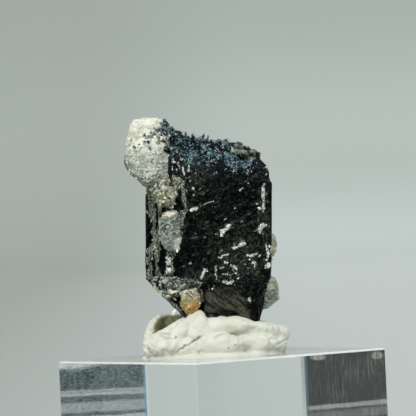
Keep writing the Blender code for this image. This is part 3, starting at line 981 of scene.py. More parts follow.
BARE: tuple[Mark, ...] = (
    Stroke(((-11.5, 26.4), (-11.3, 23.9)), 0.2), Stroke(((-9.8, 25.9), (-9.7, 23.0), (-9.7, 20.8)), 0.2),
    Stroke(((-8.65, 26.0), (-8.65, 24.0), (-8.9, 22.2)), 0.3),
    Outline(((-6.3, 27.3), (-5.8, 27.0), (-5.7, 25.8), (-5.2, 24.6), (-5.2, 24.0), (-5.5, 23.9),
        (-5.9, 23.7), (-6.0, 23.2), (-6.5, 23.1), (-7.0, 23.8), (-7.3, 24.6), (-6.7, 25.2), (-6.4, 26.0)),
        0.14),
    Outline(((-12.4, 23.4), (-11.1, 23.2), (-10.8, 22.4), (-10.4, 21.6), (-10.4, 20.8), (-10.7, 20.5),
        (-10.7, 20.0), (-10.3, 19.1), (-10.5, 18.6), (-11.3, 17.6), (-12.4, 17.0)), 0.16),
    Stroke(((-10.2, 17.2), (-10.2, 15.6)), 0.14, 0.9), Stroke(((-10.2, 15.7), (-10.2, 13.4)), 0.42),
    Outline(((-9.3, 19.2), (-8.8, 19.0), (-8.6, 18.0), (-8.2, 17.6), (-8.0, 16.4), (-8.0, 15.5),
        (-8.1, 14.5), (-8.6, 13.2), (-9.3, 13.8), (-9.6, 15.3), (-9.3, 16.5), (-9.2, 17.6)), 0.14),
    Stroke(((-7.0, 17.0), (-6.7, 14.4)), 0.16, 0.9), Patch(-7.5, 16.4, 0.26, 0.22),
    Patch(-7.8, 15.6, 0.3, 0.18, -30), Patch(-7.6, 14.9, 0.26, 0.18, -40),
    Stroke(((-11.85, 17.6), (-11.75, 13.2)), 0.26, 0.9), Patch(-11.5, 14.4, 0.26, 0.7),
    Patch(-11.2, 12.3, 0.5, 0.4), Patch(-9.25, 12.5, 0.3, 0.3),
)
CHIPS: tuple[Mark, ...] = (
    Outline(((-8.1, 14.4), (-7.5, 14.4), (-6.8, 13.1), (-7.2, 12.7), (-8.2, 12.8), (-8.35, 13.4)), 0.12),
    Outline(((-8.1, 16.5), (-7.5, 16.5), (-7.2, 15.3), (-7.4, 14.7), (-8.0, 14.9), (-8.15, 15.6)),
        0.14, 0.47),
    Stroke(((-6.2, 17.9), (-6.4, 17.0)), 0.2, 0.66),
)
DUSTED: tuple[Mark, ...] = (
    Patch(3.4, 16.0, 5.4, 5.6, 20, 0.9), Patch(7.6, 20.0, 1.6, 9.0, 0, 0.8),
    Patch(-3.6, 29.6, 3.4, 2.6, 0, 0.8), Patch(-3.6, 13.0, 2.2, 2.2, 0, 0.8),
)
# Strips where painted glints streak the striations, at the crystal's upper left and right edge.
GLINT_STREAKED: tuple[Mark, ...] = (
    Outline(((-9.0, 34.5), (-4.2, 34.0), (-3.6, 29.0), (-4.4, 25.0), (-9.0, 25.0)), 0.6),
    Outline(((7.8, 30.0), (9.5, 30.0), (9.5, 14.0), (7.8, 14.0)), 0.3, 0.6),
)
# Painted shadow: a black band along the foot of the smooth break, where its olive is left out.
SHADOW_UNDER_BREAK = Stroke(((-2.6, 7.3), (-0.6, 7.1), (1.2, 7.4), (3.2, 7.2)), 0.42)
SMOOTH_BREAK = Outline(((-2.4, 7.2), (-2.6, 10.2), (-1.2, 10.9), (1.4, 11.4), (3.4, 10.9), (4.4, 9.0),
    (5.0, 7.4), (5.4, 5.4), (-1.0, 5.4)), 0.5)


# Stones


@dataclass
class SchorlCrystal:
    """The black prism: a rough broken front, striated sides and a needled top."""

    voxel: float = 0.17
    rounding: int = 2
    striation: float = 0.14
    chipping: float = 0.36
    front_left: float = -5.6
    front_right: float = 7.5
    shoulder: tuple[Line, ...] = (
        ((8.9, 27.4), (8.6, 29.0)),
        ((8.6, 29.0), (8.2, 30.4)),
        ((8.2, 30.4), (7.5, 31.4)),
        ((7.5, 31.4), (6.3, 32.6)),
        ((-11.5, 12.7), (-5.3, 6.3)),
        ((8.1, 11.4), (8.85, 14.6)),
    )

    def build(self) -> Carving:
        """Carve and paint the crystal, before it is put in place."""
        clay = Carving("schorl", solid_copy("schorl_crystal"), self.voxel, self.rounding)
        clay.trim(self.shoulder)
        points, normals = clay.points, clay.normals
        facing = rise(-normals[:, 1], 0.1, 0.45)
        inside = rise(points[:, 0], self.front_left - 0.5, self.front_left + 0.4)
        inside *= 1.0 - rise(points[:, 0], self.front_right - 0.3, self.front_right + 0.4)
        front = facing * inside
        shaken = ragged(points, 0.24, 40)
        # The break's olive is left out in a band at its foot, a painted shadow.
        smooth = SMOOTH_BREAK.cover(shaken) * (1.0 - SHADOW_UNDER_BREAK.cover(shaken)) * facing
        flecks = cover_all(FLECKS, ragged(points, 0.13, 40)) * facing
        halo = cover_all(FLECKS, ragged(points, 0.75, 42)) * facing
        back = rise(normals[:, 1], -0.1, 0.3)
        grown = rise(wobble(points, (0.35, 0.35, 0.22), 44), 0.1, 0.6) * back
        left = rise(-normals[:, 1] - 0.5 * normals[:, 0], 0.0, 0.3)
        coat = cover_all(COATED, shaken) * (1.0 - cover_all(BARE, ragged(points, 0.1, 50))) * left
        chips = cover_all(CHIPS, ragged(points, 0.12, 60)) * left
        upright = 1.0 - rise(np.abs(normals[:, 2]), 0.5, 0.85)
        grooves = wobble(points, (1.9, 1.9, 0.05), 1) + 0.6 * wobble(points, (4.5, 4.5, 0.12), 2)
        slanted = self._slanted(points)
        flow_sheen = wobble(slanted, (0.45, 1.0, 2.6), 47) + 0.4 * wobble(slanted, (1.3, 2.0, 5.0), 48)
        clay.paint(
            {
                "break": smooth,
                "fleck": flecks + 0.6 * grown * rise(wobble(points, 1.3, 46), 0.45, 0.9),
                "halo": halo,
                "coat": coat + 0.62 * grown,
                "chip": chips,
                "dust": cover_all(DUSTED, points) * facing + 0.8 * back,
                # Painted glint streaks in the strips and over the back.
                "glint_streak": cover_all(GLINT_STREAKED, points) * (1.0 - back) + 0.9 * back,
                # Painted sheen along the slanting grain of the upper front.
                "flow_sheen": rise(flow_sheen, 0.25, 0.9) * front * rise(points[:, 2], 18.0, 22.0),
                "blue": rise(points[:, 2] + 0.9 * wobble(points, 0.6, 3), 26.6, 31.5),
            }
        )
        relief = upright * (1.0 - front) * grooves * self.striation
        relief += front * (1.0 - 0.9 * smooth) * self._broken(points)
        relief += smooth * 0.05 * wobble(points, (0.5, 0.5, 2.2), 4)
        relief += 0.08 * flecks + 0.14 * chips + coat * (0.05 + 0.1 * wobble(points, 2.2, 5))
        clay.push(relief)
        return clay

    @staticmethod
    def _slanted(points: np.ndarray) -> np.ndarray:
        """Turn points into the broken face's grain, which climbs to the right."""
        turn = np.array(Matrix.Rotation(math.radians(24.0), 3, "Y"))
        return points @ turn.T

    def _broken(self, points: np.ndarray) -> np.ndarray:
        """Return the relief of the broken face: slanting flat chips, waves and grit."""
        slanted = ragged(self._slanted(points), 0.3, 70)
        big = facets(slanted, (0.28, 0.5, 0.62), 6)
        flowing = facets(slanted, (0.6, 1.1, 1.8), 7)
        broken = facets(slanted, (1.1, 1.1, 1.3), 17)
        tiny = facets(slanted, (1.8, 2.4, 3.0), 8)
        high = rise(points[:, 2] + 2.0 * wobble(points, 0.25, 18), 20.0, 24.0)
        middling = high * flowing + (1.0 - high) * broken
        return self.chipping * (0.75 * big + 0.45 * middling + 0.16 * tiny) - 0.05

    def place(self, clay: Carving) -> None:
        """Put the crystal on the object."""
        clay.piece(Slot.SCHORL, SchorlFinish(), ["schorl_crystal"])


@dataclass
class NeedleFelt:
    """Short tourmaline needles that fur the crystal's upper end and speck the cap."""

    count: int = 12500
    specks: int = 3600
    long: Span = (0.16, 0.5)
    thick: Span = (0.05, 0.125)
    spread: float = 0.5
    edge_x: tuple[float, ...] = (-9.3, -8.3, -7.6, -5.8, -3.4, -1.1, 0.2, 2.8, 4.7, 6.4)
    edge_z: tuple[float, ...] = (37.2, 35.4, 33.4, 32.0, 30.4, 31.2, 31.4, 30.0, 29.6, 30.6)
    thick_on_lump: tuple[Mark, ...] = (
        Outline(
            (
                (-8.7, 38.4), (-7.6, 39.2), (-6.0, 37.6), (-6.0, 33.0), (-7.3, 33.3), (-8.3, 34.4),
                (-8.9, 35.2), (-9.7, 36.2), (-9.4, 37.2),
            ),
            0.5,
        ),
    )
    scattered: tuple[Mark, ...] = (
        Patch(-11.8, 35.8, 0.3, 0.3),
        Stroke(((-11.4, 35.5), (-10.4, 35.7), (-10.0, 36.1)), 0.26),
        Patch(-9.7, 36.9, 0.3, 0.22),
        Patch(-9.2, 36.4, 0.24, 0.24),
        Stroke(((-9.2, 35.2), (-8.8, 34.9)), 0.24),
        Patch(-11.0, 34.7, 0.22, 0.26),
        Patch(-11.7, 34.8, 0.2, 0.2),
        Patch(-10.8, 33.9, 0.18, 0.34),
        Patch(-13.4, 33.95, 0.2, 0.22),
        Patch(-10.5, 31.75, 0.18, 0.16),
        Patch(-10.2, 37.2, 0.2, 0.16),
        Patch(-10.6, 36.3, 0.18, 0.2),
        Patch(-9.6, 34.6, 0.3, 0.26),
        Patch(-12.4, 34.4, 0.16, 0.14),
        Stroke(((-8.4, 34.0), (-8.4, 33.0)), 0.16),
    )

    def build(self, ground: Carving, lumps: Sequence[Carving]) -> None:
        """Stand the needles on the crystal and lay a few on the lump at its upper left.

        Args:
            ground: The crystal.
            lumps: The stones of that lump.
        """
        dice = random.Random(21)
        places = self._on_crystal(ground, dice)
        for lump in lumps:
            places += self._on_lump(lump, dice)
        needle = bmesh.new()
        bmesh.ops.create_cone(needle, cap_ends=True, segments=4, radius1=0.5, radius2=0.2, depth=1.0)
        bmesh.ops.translate(needle, verts=needle.verts, vec=(0.0, 0.0, 0.4))
        settle("needle_felt", strew(needle, places), NeedleFinish())

    def _stand(self, root: np.ndarray, out: Vector, dice: random.Random, short: float = 1.0) -> Matrix:
        """Return the place of one needle: its root, its lean, its length and thickness."""
        tuft = Vector(noise.noise_vector(Vector(root) * 1.1)) * 1.6
        stray = Vector(dice.gauss(0.0, self.spread) for _ in range(3))
        lean = (out * 0.9 + tuft + stray).to_track_quat("Z", "Y").to_matrix().to_4x4()
        thick = dice.uniform(*self.thick)
        size = Matrix.Diagonal((thick, thick, dice.uniform(*self.long) * short, 1.0))
        return Matrix.Translation(root) @ lean @ size

    def _on_crystal(self, ground: Carving, dice: random.Random) -> list[Matrix]:
        """Pick places on the crystal above the felt's ragged lower edge."""
        points, normals = ground.points, ground.normals
        edge = np.interp(points[:, 0], self.edge_x, self.edge_z) + 1.3 * wobble(points, 0.7, 9)
        likely = rise(points[:, 2] - edge, -1.6, 0.8) ** 2
        likely *= rise(wobble(points, 0.8, 19), -0.75, -0.1) * 0.85 + 0.15
        likely *= (points[:, 0] > -9.6) & (normals[:, 2] > -0.3)
        likely *= 1.0 - rise(points[:, 0] + 0.8 * wobble(points, 0.9, 39), 4.4, 6.2)
        likely *= 1.0 - 0.7 * rise(normals[:, 1], 0.4, 0.9)
        picked = dice.choices(range(len(points)), weights=likely.tolist(), k=self.count)
        tall = rise(wobble(points, 0.55, 29), -0.5, 0.7) * 0.6 + 0.65
        return [self._stand(points[i], Vector(normals[i]), dice, float(tall[i])) for i in picked]

    def _on_lump(self, lump: Carving, dice: random.Random) -> list[Matrix]:
        """Pick places on a stone of the lump, thick at its right and thin to the left."""
        points, normals = lump.points, lump.normals
        likely = cover_all(self.thick_on_lump, ragged(points, 0.4, 90)) ** 2 * (normals[:, 1] < 0.6)
        likely += 2.5 * cover_all(self.scattered, ragged(points, 0.12, 90)) ** 2 * (normals[:, 1] < 0.0)
        picked = dice.choices(range(len(points)), weights=likely.tolist(), k=self.specks)
        return [self._stand(points[i], Vector(normals[i]) * 0.6, dice, 0.9) for i in picked]


@dataclass(frozen=True)
class Grit:
    """Small angular grains that lie half sunk in a stone, each in a tone between low and high."""

    name: str
    count: int
    size: Span
    slot: Slot
    low: Colour
    high: Colour
    seed: int
    stand: float = 0.15
    roughness: float = 0.3

    def scatter(self, ground: Carving, likely: np.ndarray) -> None:
        """Lay the grains on a stone.

        Args:
            ground: The stone.
            likely: How likely a grain is at each of its points.
        """
        dice = random.Random(self.seed)
        places = []
        for spot in dice.choices(range(len(ground.points)), weights=likely.tolist(), k=self.count):
            size = dice.uniform(*self.size)
            turn = Euler([dice.uniform(0.0, math.tau) for _ in range(3)]).to_matrix().to_4x4()
            shape = Matrix.Diagonal([size * dice.uniform(0.35, 0.6) for _ in range(3)] + [1.0])
            centre = ground.points[spot] + ground.normals[spot] * self.stand * size
            places.append(Matrix.Translation(centre) @ turn @ shape)
        grain = bmesh.new()
        bmesh.ops.create_icosphere(grain, subdivisions=1, radius=1.0)
        finish = GrainFinish(self.name, self.low, self.high, self.roughness)
        settle(self.name, strew(grain, places), finish, smooth=False)


@dataclass(frozen=True)
class Flake:
    """A thin curled flake on a stone: where it is seen, its half sizes, its turns and its curl.

    The tilt turns it as seen from the front, and the lean tips its upper edge back.
    """

    x: float
    z: float
    half: Triple
    tilt: float = 0.0
    lean: float = 0.0
    curl: float = 0.3

    def add_to(self, shape: bmesh.types.BMesh, ground: BVHTree) -> None:
        """Lay the flake on the ground, where a line from the front meets it."""
        spot = ground.ray_cast(Vector((self.x, -40.0, self.z)), Vector((0.0, 1.0, 0.0)))[0]
        if spot is None:
            spot = ground.find_nearest(Vector((self.x, -6.0, self.z)))[0]
        made = bmesh.ops.create_icosphere(shape, subdivisions=3, radius=1.0)["verts"]
        for vert in made:
            torn = noise.noise(vert.co * 1.7 + spot)
            vert.co.x *= 1.0 + 0.6 * torn
            vert.co.z *= 1.0 + 0.7 * noise.noise(vert.co * 2.3 + spot)
            vert.co = Vector(map(float.__mul__, vert.co[:], self.half))
            vert.co.y += self.curl * ((vert.co.x / self.half[0]) ** 2 - 0.5) + 0.1 * torn
        turn = turned(-self.tilt, "Y") @ turned(-self.lean, "X")
        bmesh.ops.transform(shape, matrix=Matrix.Translation((self.x, spot.y, self.z)) @ turn, verts=made)


@dataclass(frozen=True)
class Flakes:
    """Some flakes of the crusts' mineral, joined in one piece, and the stones that they lie on."""

    finish: Union[GrainFinish, MatrixFinish]
    on: tuple[str, ...]
    flakes: tuple[Flake, ...]

    def grow(self, ground: Carving, carvings: dict[str, Carving]) -> None:
        """Lay the flakes on the crystal and their stones."""
        tree = tree_of([ground, *(carvings[name] for name in self.on)])
        shape = bmesh.new()
        for flake in self.flakes:
            flake.add_to(shape, tree)
        spots = np.array([vert.co[:] for vert in shape.verts])
        mesh = mesh_of(self.finish.name, shape)
        paint(mesh, "one", rise(wobble(spots, 0.9, 71) + 0.6 * wobble(spots, 2.6, 72), -0.9, 0.9))
        settle(self.finish.name, mesh, self.finish)


@dataclass(frozen=True)
class Stone:
    """A crystal or crust that sits on the schorl: a copy of its solid, carved.

    Besides its own node it can take in others, so that it grows together with them.
    """

    node: str
    slot: Slot
    finish: Finish
    takes_in: tuple[str, ...] = ()
    close: float = 0.0
    voxel: float = 0.13
    rounding: int = 4
    lumps: float = 0.2
    lumps_per_mm: float = 0.55
    grain: float = 0.12
    grains_per_mm: float = 1.4
    chipping: float = 0.0
    layers: float = 0.0
    grit: float = 0.03
    seed: int = 11
    shrink: float = 0.0
    trims: tuple[Line, ...] = ()
    tear: float = 0.2
    masks: dict[str, tuple[Mark, ...]] = field(default_factory=dict)

    def build(self, ground: Carving) -> Carving:
        """Carve the stone, seat it on the crystal and paint its masks, before it is put in place."""
        coarse = solid_copy(self.node, *self.takes_in)
        clay = Carving(f"{self.node}_stone", coarse, self.voxel, self.rounding, self.close)
        clay.push(self.lumps * wobble(clay.points, self.lumps_per_mm, self.seed))
        rounded, between = grains(clay.points, self.grains_per_mm, self.seed)
        relief = self.grain * (0.55 - rounded) + self.grain * 0.5 * np.minimum(between, 0.25)
        if self.chipping:
            relief += self.chipping * facets(clay.points, 0.75, self.seed + 2)
            relief += 0.5 * self.chipping * facets(clay.points, 1.7, self.seed + 3)
        if self.layers:
            relief += self.layers * wobble(clay.points, (0.6, 0.6, 2.1), self.seed + 4)
        clay.push(relief + self.grit * wobble(clay.points, 3.4, self.seed + 1))
        clay.push(np.full(len(clay.points), -self.shrink))
        clay.trim(self.trims)
        clay.seat(ground, 0.55, 0.06)
        front = rise(-clay.normals[:, 1], -0.45, -0.1)
        torn = ragged(clay.points, self.tear, self.seed + 5)
        for name, marks in self.masks.items():
            clay.paint({name: cover_all(marks, torn) * (1.0 if name == "white" else front)})
        return clay


@dataclass(frozen=True)
class Stones:
    """Every crystal and crust on the schorl, with the flakes and grains that lie on them."""

    lump_side: tuple[Line, ...] = (((-13.3, 38.9), (-14.5, 36.0)), ((-14.5, 36.0), (-15.15, 32.6)))
    cap_trims: tuple[Line, ...] = (
        *lump_side, ((-14.0, 37.0), (-14.2, 34.2)), ((-6.0, 38.62), (-16.0, 38.62)),
    )
    crust: MatrixFinish = MatrixFinish(
        grey=(0.13, 0.15, 0.1), cream=(0.74, 0.76, 0.63), olive=(0.14, 0.13, 0.035),
        blackened=0.95, creamy=0.5,
    )
    stones: tuple[Stone, ...] = (
        Stone(
            "fluorite_upper", Slot.FLUORITE, FluoriteFinish(), ("feldspar_cap",), 0.6, lumps=0.25, grain=0.1,
            grains_per_mm=1.2, layers=0.08, grit=0.05, tear=0.08,
            trims=(
                *lump_side, ((-15.0, 31.4), (-14.1, 29.8)), ((-14.1, 29.8), (-12.0, 27.9)),
                ((-6.0, 38.5), (-16.0, 38.5)),
            ),
            masks={
                "white": (
                    Outline(
                        (
                            (-17.0, 34.2), (-13.0, 33.0), (-10.0, 33.8), (-6.0, 33.4), (-6.0, 41.0),
                            (-17.0, 41.0),
                        ),
                        1.2,
                    ),
                ),
                "rim": (
                    Stroke(
                        (
                            (-15.0, 32.6), (-14.8, 31.1), (-14.2, 29.8), (-13.3, 28.9), (-12.6, 28.3),
                            (-11.7, 27.6),
                        ),
                        0.2,
                    ),
                    Stroke(((-14.4, 30.4), (-13.5, 29.4), (-12.5, 28.9), (-10.5, 28.7)), 0.13, 0.9),
                    Stroke(((-9.9, 33.2), (-9.4, 31.4), (-9.6, 30.0), (-10.0, 29.0)), 0.16, 0.55),
                    Stroke(((-10.2, 29.4), (-9.0, 29.1), (-7.8, 28.9)), 0.5, 0.5),
                ),
                "stain": (Stroke(((-11.2, 28.4), (-10.4, 28.6)), 0.22),),
                "black": (
                    Outline(((-8.2, 33.9), (-7.9, 31.9), (-7.2, 29.4), (-5.0, 29.0), (-5.0, 34.4)), 0.2),
                    Stroke(((-11.9, 28.8), (-11.2, 29.1)), 0.1, 0.6), Patch(-9.8, 30.3, 0.3, 0.12, 0, 0.6),
                ),
            },
        ),
        Stone(
            "feldspar_cap", Slot.FELDSPAR, FeldsparFinish(), lumps=0.35, grain=0.25, grains_per_mm=0.95,
            grit=0.06,
        ),
        Stone(
            "fluorite_middle", Slot.FLUORITE,
            FluoriteFinish(
                "fluorite_grey", milk=(0.27, 0.315, 0.275), deep=(0.06, 0.078, 0.066),
                frost=(0.64, 0.69, 0.62),
                white=(0.84, 0.84, 0.76), stain=(0.78, 0.52, 0.22), rim=(0.02, 0.022, 0.018), frosted=0.75,
                pitted=0.9,
            ),
            grain=0.2, grains_per_mm=1.9, chipping=0.36, seed=12, tear=0.1,
            masks={
                "white": (
                    Outline(((-7.0, 18.8), (-5.8, 19.8), (-5.4, 17.0), (-6.8, 17.0)), 0.4, 0.5),
                    Outline(((-8.2, 23.5), (-6.8, 23.5), (-6.9, 23.0), (-8.1, 22.9)), 0.16, 0.8),
                ),
                "rim": (
                    Stroke(ring(-8.15, 20.5, 0.4, 30, 330), 0.13, 0.8),
                    Stroke(ring(-8.0, 20.4, 1.0, 60, 250), 0.13, 0.7),
                    Stroke(ring(-7.1, 21.9, 0.24), 0.09, 0.8), Patch(-7.6, 20.9, 0.3, 0.14, 40, 0.7),
                    Patch(-6.2, 19.5, 0.16, 0.14), Patch(-6.35, 20.0, 0.14, 0.12),
                    Patch(-6.75, 19.85, 0.12, 0.14),
                    Patch(-6.2, 18.9, 0.15, 0.13), Patch(-6.05, 18.4, 0.14, 0.16),
                    Patch(-6.5, 21.6, 0.16, 0.12),
                    Patch(-6.9, 18.7, 0.18, 0.12), Patch(-7.4, 19.4, 0.14, 0.12),
                    Patch(-8.9, 21.6, 0.14, 0.3),
                ),
                "stain": (Stroke(((-8.6, 23.0), (-8.0, 23.1)), 0.2), Patch(-7.4, 22.9, 0.24, 0.14, 0, 0.6)),
            },
        ),
        Stone(
            "fluorite_stained", Slot.STAINED,
            FluoriteFinish(
                "fluorite_amber", milk=(0.42, 0.36, 0.14), deep=(0.22, 0.18, 0.05), frost=(0.64, 0.59, 0.36),
                white=(0.56, 0.57, 0.45), stain=(0.6, 0.28, 0.05), frosted=0.75, pitted=0.15, clear=0.2,
                roughness=0.3, grain_of=(3.0, 3.0, 0.7),
            ),
            lumps=0.25, grain=0.16, grains_per_mm=1.2, chipping=0.5, grit=0.06, seed=13,
            trims=(
                ((-3.6, 6.4), (-2.95, 8.4)), ((-2.95, 8.4), (-2.8, 9.6)), ((-2.8, 9.6), (-3.5, 11.2)),
                ((-3.3, 11.1), (-5.6, 10.6)), ((-6.5, 11.0), (-5.0, 7.0)),
            ),
            masks={
                "stain": (
                    Patch(-3.7, 8.0, 1.9, 1.4, 10, 0.75),
                    Stroke(((-4.6, 8.9), (-3.9, 8.7), (-3.2, 8.4)), 0.16, 0.9),
                    Patch(-4.2, 8.3, 0.22, 0.16), Patch(-3.1, 7.8, 0.3, 0.2),
                    Patch(-4.9, 9.9, 0.3, 0.3, 0, 0.6),
                ),
                "white": (Outline(((-6.4, 12.0), (-2.0, 12.0), (-2.4, 10.1), (-6.0, 9.3)), 0.8, 0.9),),
            },
        ),
        Stone(
            "fluorite_right", Slot.CLEAR,
            FluoriteFinish(
                "fluorite_clear", milk=(0.62, 0.7, 0.6), deep=(0.15, 0.19, 0.155), stain=(0.96, 0.9, 0.6),
                rim=(0.86, 0.9, 0.76), frosted=0.8, pitted=0.6, clear=0.4, roughness=0.2,
            ),
            lumps=0.4, chipping=0.36, seed=14, tear=0.14,
            trims=(((8.4, 7.9), (10.0, 9.4)), ((10.0, 9.4), (10.05, 11.8)), ((10.05, 11.8), (9.1, 13.3))),
            masks={
                "stain": (Patch(8.7, 11.4, 0.75, 0.6),),
                "rim": (
                    Stroke(
                        ((9.0, 13.0), (10.0, 12.4), (10.2, 10.6), (9.6, 8.9), (8.4, 8.1), (7.4, 8.4)), 0.22,
                        0.9,
                    ),
                ),
            },
        ),
        Stone(
            "hyalite_crust", Slot.STAINED,
            FluoriteFinish(
                "hyalite", milk=(0.92, 0.92, 0.72), deep=(0.6, 0.58, 0.36), frosted=0.6, pitted=0.35,
                clear=0.35,
                roughness=0.25,
            ),
            lumps=0.35, grain=0.16, chipping=0.3, seed=15, shrink=0.4,
        ),
        Stone(
            "feldspar_chip", Slot.FELDSPAR,
            MatrixFinish(
                "chip", grey=(0.03, 0.045, 0.038), cream=(0.6, 0.66, 0.58), olive=(0.008, 0.013, 0.01),
                blackened=0.95, creamy=0.4,
            ),
            lumps=0.35, grain=0.3, grains_per_mm=0.9, chipping=0.3, seed=16, shrink=0.1,
            trims=(
                ((5.8, 33.6), (4.4, 34.0)), ((4.4, 34.0), (2.6, 34.5)), ((6.8, 33.0), (5.8, 33.6)),
                ((6.8, 32.0), (6.7, 33.5)), ((1.9, 33.6), (5.6, 31.7)),
            ),
            masks={
                "white": (
                    Stroke(((2.2, 33.9), (2.6, 33.6)), 0.3),
                    Stroke(((3.0, 33.6), (3.8, 33.3), (4.6, 33.1)), 0.2, 0.9),
                    Patch(5.6, 32.2, 0.4, 0.4),
                ),
                "dark": (
                    Outline(
                        ((2.4, 36.0), (7.6, 36.0), (7.6, 33.7), (4.6, 33.6), (4.0, 34.2), (2.4, 34.4)), 0.2
                    ),
                    Outline(((6.2, 34.5), (8.0, 34.5), (8.0, 30.6), (6.4, 30.6)), 0.2),
                    Outline(((3.6, 33.0), (5.2, 32.4), (5.0, 31.0), (3.4, 31.6)), 0.3),
                ),
            },
        ),
        Stone(
            "matrix_upper", Slot.MATRIX, crust, lumps=0.35, grain=0.3, grains_per_mm=1.6, chipping=0.3,
            seed=17,
            trims=(
                ((-12.0, 25.5), (-9.4, 24.8)), ((-9.4, 24.8), (-8.3, 22.8)), ((-7.6, 22.4), (-6.8, 26.0)),
                ((-6.8, 26.0), (-6.1, 28.2)),
            ),
            masks={
                "white": (
                    Patch(-8.6, 27.6, 0.5, 0.7), Patch(-7.2, 28.9, 0.7, 0.4), Patch(-7.2, 26.1, 0.35, 0.35)
                ),
            },
        ),
        Stone(
            "matrix_lower", Slot.MATRIX,
            MatrixFinish(
                "matrix_dark", grey=(0.15, 0.195, 0.17), cream=(0.58, 0.62, 0.54),
                olive=(0.045, 0.052, 0.034),
                blackened=0.95, creamy=0.6,
            ),
            lumps=0.5, grain=0.3, grains_per_mm=1.0, chipping=0.3, seed=18,
            trims=(((-11.5, 12.9), (-8.0, 9.7)), ((-8.0, 9.7), (-5.3, 6.6)), ((-4.0, 12.9), (-12.0, 12.8))),
            masks={
                "white": (
                    Stroke(((-6.4, 11.6), (-5.2, 11.2)), 0.3, 0.6), Patch(-4.4, 11.9, 0.5, 0.4, 0, 0.7),
                    Patch(-4.7, 10.9, 1.8, 0.7, 0, 0.75),
                ),
                "dark": (
                    Patch(-9.8, 12.2, 1.8, 0.9), Patch(-6.5, 9.4, 1.6, 0.6),
                    Stroke(((-9.4, 12.8), (-8.8, 12.2), (-8.9, 11.2)), 0.3),
                ),
                "stain": (Patch(-9.9, 11.2, 0.25, 0.2, 0, 0.8), Patch(-9.4, 10.5, 0.2, 0.2, 0, 0.7)),
            },
        ),
    )
    flakes: tuple[Flakes, ...] = (
        Flakes(
            GrainFinish("cream_flakes", (0.5, 0.47, 0.31), (0.94, 0.92, 0.8), 0.3),
            ("matrix_lower", "fluorite_stained"),
            (
                Flake(-9.7, 11.1, (0.7, 0.2, 0.34), -50.0, 20.0, 0.2),
                Flake(-9.0, 10.5, (0.75, 0.2, 0.32), -30.0, 10.0, 0.2),
                Flake(-8.1, 10.1, (0.7, 0.18, 0.26), -22.0, 10.0, 0.2),
                Flake(-7.5, 10.8, (1.05, 0.16, 0.4), -4.0, 25.0, -0.3),
                Flake(-6.9, 9.6, (0.6, 0.14, 0.16), -44.0, 0.0, 0.1),
                Flake(-6.9, 7.4, (0.32, 0.2, 0.5), -30.0, 0.0, 0.1),
            ),
        ),
        Flakes(
            GrainFinish("pale_flakes", (0.03, 0.042, 0.036), (0.38, 0.42, 0.38), 0.35),
            ("matrix_lower", "fluorite_stained"),
            (
                Flake(-8.3, 12.3, (0.42, 0.12, 0.75), -34.0, -15.0, 0.25),
                Flake(-6.3, 12.4, (1.0, 0.14, 0.24), 14.0, 30.0, 0.4),
                Flake(-10.4, 12.0, (0.6, 0.12, 0.26), -20.0, 20.0, 0.25),
                Flake(-5.4, 11.6, (0.7, 0.3, 0.3), 50.0, 10.0, 0.4),
                Flake(-4.0, 12.0, (0.6, 0.3, 0.2), -60.0, 20.0, 0.3),
                Flake(-6.9, 11.3, (0.7, 0.3, 0.4), 70.0, 10.0, 0.4),
                Flake(-9.0, 11.6, (0.16, 0.3, 0.8), 10.0, 0.0, 0.3),
            ),
        ),
        Flakes(
            replace(crust, name="crust_flakes"),
            ("matrix_upper", "fluorite_upper"),
            (
                Flake(-10.95, 26.9, (0.55, 0.5, 1.0), 4.0, 0.0, 0.1),
                Flake(-10.4, 27.7, (0.85, 0.45, 0.6), -24.0, 0.0, 0.1),
                Flake(-9.9, 26.3, (0.6, 0.4, 1.1), 6.0, 0.0, 0.1),
                Flake(-9.1, 25.2, (0.5, 0.36, 1.2), -4.0, 0.0, 0.1),
                Flake(-6.7, 28.4, (0.6, 0.3, 0.9), 24.0, 0.0, 0.1),
            ),
        ),
    )
    clear_tones: tuple[Colour, Colour] = ((0.05, 0.06, 0.045), (0.74, 0.76, 0.62))
    grit: tuple[Grit, ...] = (
        Grit(
            "cap_grains", 1100, (0.2, 0.7), Slot.FELDSPAR, (0.62, 0.62, 0.48), (0.9, 0.9, 0.79), 31, -0.1,
            0.45,
        ),
        Grit(
            "upper_grains", 360, (0.16, 0.42), Slot.FLUORITE, (0.3, 0.34, 0.28), (0.86, 0.88, 0.79), 32, 0.05,
            0.45,
        ),
        Grit(
            "matrix_upper_grains", 420, (0.16, 0.5), Slot.MATRIX, (0.03, 0.03, 0.012), (0.84, 0.86, 0.74), 33
        ),
        Grit(
            "matrix_lower_grains", 520, (0.16, 0.5), Slot.MATRIX, (0.006, 0.008, 0.006), (0.64, 0.69, 0.6),
            34,
        ),
        Grit(
            "feldspar_chip_grains", 70, (0.2, 0.45), Slot.MATRIX, (0.004, 0.006, 0.005), (0.26, 0.29, 0.25),
            35,
        ),
        Grit(
            "fleck_grains", 900, (0.12, 0.34), Slot.MATRIX, (0.1, 0.105, 0.085), (0.92, 0.94, 0.88), 36, 0.15,
            0.45,
        ),
        Grit(
            "coat_grains", 1300, (0.12, 0.36), Slot.MATRIX, (0.012, 0.015, 0.012), (0.6, 0.63, 0.52), 37,
            0.05,
        ),
        Grit("amber_grains", 190, (0.16, 0.5), Slot.STAINED, (0.1, 0.11, 0.08), (0.74, 0.75, 0.62), 40, 0.1),
        Grit("amber_skin", 120, (0.2, 0.5), Slot.STAINED, (0.4, 0.24, 0.06), (0.74, 0.62, 0.36), 43, -0.05),
        Grit("hyalite_crust_grains", 70, (0.14, 0.42), Slot.CLEAR, *clear_tones, 41),
        Grit("fluorite_right_grains", 110, (0.14, 0.42), Slot.CLEAR, *clear_tones, 42),
        Grit("chip_crest", 26, (0.5, 1.0), Slot.FELDSPAR, (0.006, 0.01, 0.008), (0.12, 0.15, 0.12), 38, 0.3),
    )

